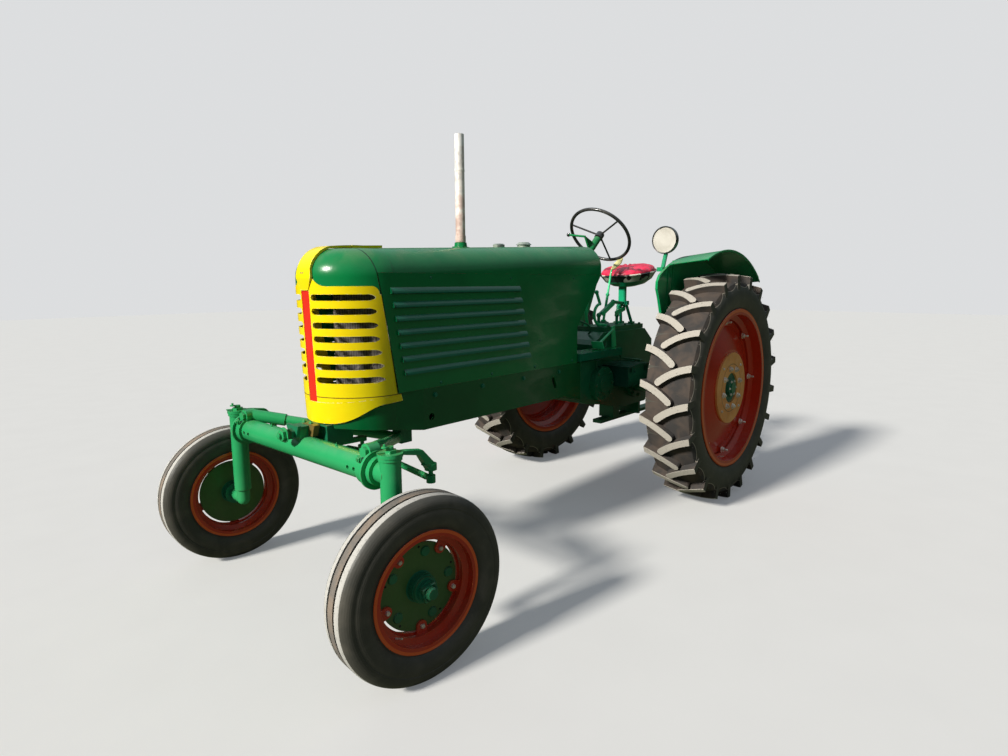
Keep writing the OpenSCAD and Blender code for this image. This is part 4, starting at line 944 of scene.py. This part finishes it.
# %% Pipes and rods about the gearbox
pipes = bmesh.new()
for side in (-1, 1):
    bar(pipes, [(rear_x + 0.318, side * 0.176, 0.985), (rear_x + 0.250, side * 0.180, 0.905),
                (rear_x - 0.04, side * 0.180, 0.860)], 0.006)
    bar(pipes, [(rear_x + 0.60, side * 0.205, 0.945), (rear_x + 0.565, side * 0.205, 0.66)], 0.006)
    bar(pipes, curve([(rear_x + 0.86, side * 0.19, 0.93), (rear_x + 0.70, side * 0.215, 0.925),
                      (rear_x + 0.50, side * 0.19, 0.93), (rear_x + 0.42, side * 0.165, 1.02)]), 0.005)
bar(pipes, curve([(rear_x + 0.78, 0.12, 1.20), (rear_x + 0.60, 0.13, 1.15), (rear_x + 0.50, 0.09, 1.10),
                  (rear_x + 0.46, 0.05, 1.075)]), 0.007)
finish_mesh(pipes, "rods_and_pipes", casting_paint, "chassis")

# %% Latches of the battery box
lid = bmesh.new()
for x in (0.20, 0.38):
    plate(lid, stand_at((rear_x + x, 0.356, 0.846), (0, 1, 0)), 0.022, 0.004, 0.040)
    turn(lid, [(0, 0), (0.005, 0), (0.005, 0.008), (0, 0.009)],
         stand_at((rear_x + x, 0.360, 0.836), (0, 1, 0)), 12)
finish_mesh(lid, "box_latches", box_paint, "chassis")

# %% Castings: bolts of the housings, covers and power take-off
def round_axle(radius, degrees, y):
    """A point at a radius and an angle from ahead, round the rear axle."""
    axle_z, a = 0.735, math.radians(degrees)
    return (rear_x + radius * math.cos(a), y, axle_z + radius * math.sin(a))


bolts = bmesh.new()
for side in (-1, 1):
    for i in range(10):
        for y, radius in ((0.180, 0.122), (0.440, 0.106)):
            nut(bolts, stand_at(round_axle(radius, 36 * i + 18, side * y), (0, side, 0)), 0.019, 0.012, i)
for i in range(8):
    a = math.radians(45 * i)
    nut(bolts, stand_at((rear_x + 0.556 + 0.094 * math.cos(a), 0.242, 0.768 + 0.094 * math.sin(a)),
                        (0, 1, 0)), 0.015, 0.009, i)
for x in (-0.12, -0.02, 0.08, 0.30):
    for y in (-0.104, 0.104):
        nut(bolts, stand_at((rear_x + x, y, 1.116), (0, 0, 1)), 0.016, 0.010, x * 7)
for i in range(6):
    a = math.radians(60 * i + 30)
    nut(bolts, stand_at((rear_x - 0.250, 0.047 * math.cos(a), 0.640 + 0.047 * math.sin(a)), (-1, 0, 0)),
        0.013, 0.008, i)
for y in (-0.11, 0.11):
    for z in (0.62, 0.72, 0.84, 0.96):
        nut(bolts, stand_at((rear_x - 0.230, y, z), (-1, 0, 0)), 0.018, 0.011, z * 5)
finish_mesh(bolts, "casting_bolts", casting_paint, "chassis")

# %% Fenders: rolled edge, ribs and rivets
edge_r, edge_y, rivet_r, wall_y = 0.878, 0.804, 0.835, 0.544
for hand, sign in (("left", 1), ("right", -1)):
    trim = bmesh.new()
    for i in range(9):
        turn(trim, [(0, 0), (0.007, 0), (0.005, 0.003), (0, 0.004)],
             stand_at(round_axle(rivet_r, 70 + 56 * i / 8, sign * wall_y), (0, sign, 0)), 14)
    for x, low_z, high_z in ((0.335, 1.20, 1.50), (0.270, 1.16, 1.55)):
        y = sign * (wall_y + 0.001)
        bar(trim, [(rear_x + x, y, low_z), (rear_x + x - 0.01, y, high_z)], 0.005, 12)
    bar(trim, [round_axle(edge_r, d, sign * edge_y) for d in range(69, 129, 3)], 0.0045, 10)
    finish_mesh(trim, f"fender_trim_{hand}", fender_paint, "chassis")

# %% [markdown]
# ## Seat cushion
# The seat is a dished steel pan with a round vinyl cushion on it, whose red cover
# is gathered towards the middle like a drawn-up bag. It is made as one closed form
# in rings and spokes: the crown swells between the rim and the middle, and the
# pleats are a wave along the rim that fades inward, uneven as hand-sewn ones are.

# %% The cushion's place and its uneven pleats
low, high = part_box("seat_cushion")
seat_middle = (low + high) / 2
seat_r = (high.y - low.y) / 2
random.seed(7)
pleats, per_pleat = 22, 8
spokes, rings = pleats * per_pleat, 26
uneven = [random.uniform(0.7, 1.25) for i in range(pleats)]
shift = [random.uniform(-0.06, 0.06) for i in range(pleats)]
print("cushion radius", round(seat_r, 3))


# %% A point of the cover
def cushion_point(t, spoke):
    """t runs from the middle of the top, over the rim at 0.62, to the middle below."""
    rim = 0.62
    k = spoke // per_pleat
    angle = 2 * math.pi * spoke / spokes + shift[k] * 0.2
    wave = abs(math.sin(math.pi * (spoke % per_pleat) / per_pleat)) * uneven[k]
    if t < rim:
        s = t / rim
        radius = seat_r * 0.985 * math.sin(s * math.pi / 2) ** 0.9
        swell = 0.052 * math.cos(s * math.pi / 2) ** 0.55 - 0.012 * math.exp(-(s / 0.09) ** 2)
        lift = swell + 0.011 * wave * math.sin(math.pi * min(1.0, s * 1.02)) ** 0.8
    else:
        s = (t - rim) / (1 - rim)
        radius = seat_r * (0.985 - 0.93 * s ** 1.3)
        lift = -0.062 * math.sin(s * math.pi / 2) ** 0.7 + 0.004 * wave * (1 - s)
    x, y, lean = radius * math.cos(angle), radius * math.sin(angle), math.radians(9)
    return seat_middle + Vector((0, 0, 0.008)) + Vector((x, y, lift - x * math.tan(lean)))


# %% The cover: rings joined by faces, closed above and below
cover = bmesh.new()
rows = [[cover.verts.new(cushion_point(i / rings, s)) for s in range(spokes)] for i in range(1, rings)]
join_rings(cover, rows, ends=False)
for ring, t in ((rows[0], 0.0), (rows[-1], 1.0)):
    cap = cover.verts.new(cushion_point(t, 0))
    for s in range(spokes):
        cover.faces.new([ring[s], ring[(s + 1) % spokes], cap])


# %% Heights on the tilted seat
def seat_height(tree, low, high):
    """0 below low, 1 above high, both measured up from the middle of the tilted cushion."""
    slope = 0.158  # the tangent of the cushion's lean
    level = seat_middle.z + slope * seat_middle.x
    return ramp(tree, along(tree, x=slope, z=1), level + low, level + high)


# %% Red vinyl with a dark and pale side
seat_vinyl, tree, shader = principled("red vinyl", Coat_Weight=0.35, Coat_Roughness=0.25)
where = place(tree)
red = use_group(tree, colour_drift, Colour=(0.86, 0.022, 0.090), Other=(0.55, 0.008, 0.045),
                Scale=16.0, Amount=0.7)["Colour"]
patches = ramp(tree, noise(tree, where, 18, 2), 0.5, 0.53)
side_cloth = blend_colours(tree, patches, (0.02, 0.02, 0.02), (0.5, 0.47, 0.42))
grain = add(tree, "TexVoronoi", {"Vector": where, "Scale": 420.0}).outputs["Distance"]
feed(shader, Base_Color=blend_colours(tree, seat_height(tree, 0.013, 0.009), red, side_cloth),
     Roughness=ramp(tree, grain, 0.0, 0.6, 0.32, 0.5))
skin(tree, shader, grain, 0.25, 0.0006)

# %% The cover's side is drawn down over the pan
tree = pan_paint.node_tree
patches = ramp(tree, noise(tree, place(tree), 14, 1), 0.49, 0.52)
cloth = blend_colours(tree, patches, (0.03, 0.03, 0.03), (0.62, 0.60, 0.52))
paint_over(pan_paint, seat_height(tree, -0.036, -0.033), cloth)

# %% The cushion takes its solid's place
cushion = finish_mesh(cover, "cushion", seat_vinyl, "chassis", 60)
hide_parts("seat_cushion")

# %% [markdown]
# ## Studio
# The floor and the sky are one pale colour to the camera. What the paint mirrors is
# another matter: outdoors a panel mirrors something dark near the horizon and a
# bright sky above, and that is what makes enamel look deep. Light Path tells these
# uses apart, so the world is pale to the camera, a soft grey as light, and a
# gradient from dark to bright as a reflection. One low sun with a wide disc stands
# nearly straight ahead of the tractor, which leaves its side panels in soft shade.

# %% Sky
def studio_tree(tree, lit, seen, low, high):
    """Sheds `lit`, shows `seen` to the camera and a gradient from low to high to gloss."""
    path = add(tree, "LightPath").outputs
    upward = dot(tree, add(tree, "TexCoord").outputs["Generated"], (0, 0, 1))
    mirrored = blend_colours(tree, ramp(tree, upward, 0.05, 0.75), low, high)
    shown = blend_colours(tree, path["Is Glossy Ray"], lit, mirrored)
    looks = maths(tree, "MAXIMUM", path["Is Camera Ray"], path["Is Transmission Ray"])
    return blend_colours(tree, looks, shown, seen)


world = bpy.data.worlds.new("sky")
bpy.context.scene.world = world
world.use_nodes = True
feed(world.node_tree.nodes["Background"],
     Color=studio_tree(world.node_tree, (0.150, 0.168, 0.195), (0.72, 0.73, 0.74), (0.025, 0.045, 0.020),
                       (0.60, 0.72, 0.80)))
print("world:", world.name)

# %% Floor
floor_finish, tree, shader = principled("pale floor", Roughness=0.9, Specular_IOR_Level=0.1,
                                        Emission_Color=(0.90, 0.95, 1.0))
pale = blend_colours(tree, noise(tree, place(tree), 3, 6), (0.62, 0.62, 0.615), (0.66, 0.66, 0.655))
seen = add(tree, "LightPath").outputs["Is Camera Ray"]
feed(shader, Base_Color=blend_colours(tree, seen, (0.13, 0.15, 0.09), pale),
     Emission_Strength=times(tree, seen, 0.14))
floor_mesh = bmesh.new()
bmesh.ops.create_grid(floor_mesh, x_segments=1, y_segments=1, size=30)
floor = new_object(floor_mesh, "floor", floor_finish)

# %% Sun
sunlight = bpy.data.lights.new("sun", "SUN")
sunlight.energy = 5.0
sunlight.angle = math.radians(8)
sunlight.color = (1.0, 0.96, 0.88)
sun = bpy.data.objects.new("sun", sunlight)
toward_sun = Vector((0.86, -0.13, 0.52))
sun.rotation_euler = toward_sun.to_track_quat("Z", "Y").to_euler()
bpy.context.scene.collection.objects.link(sun)
bpy.context.scene.view_settings.view_transform = "Standard"
print("the sun stands", round(math.degrees(math.asin(toward_sun.normalized().z))), "degrees high")
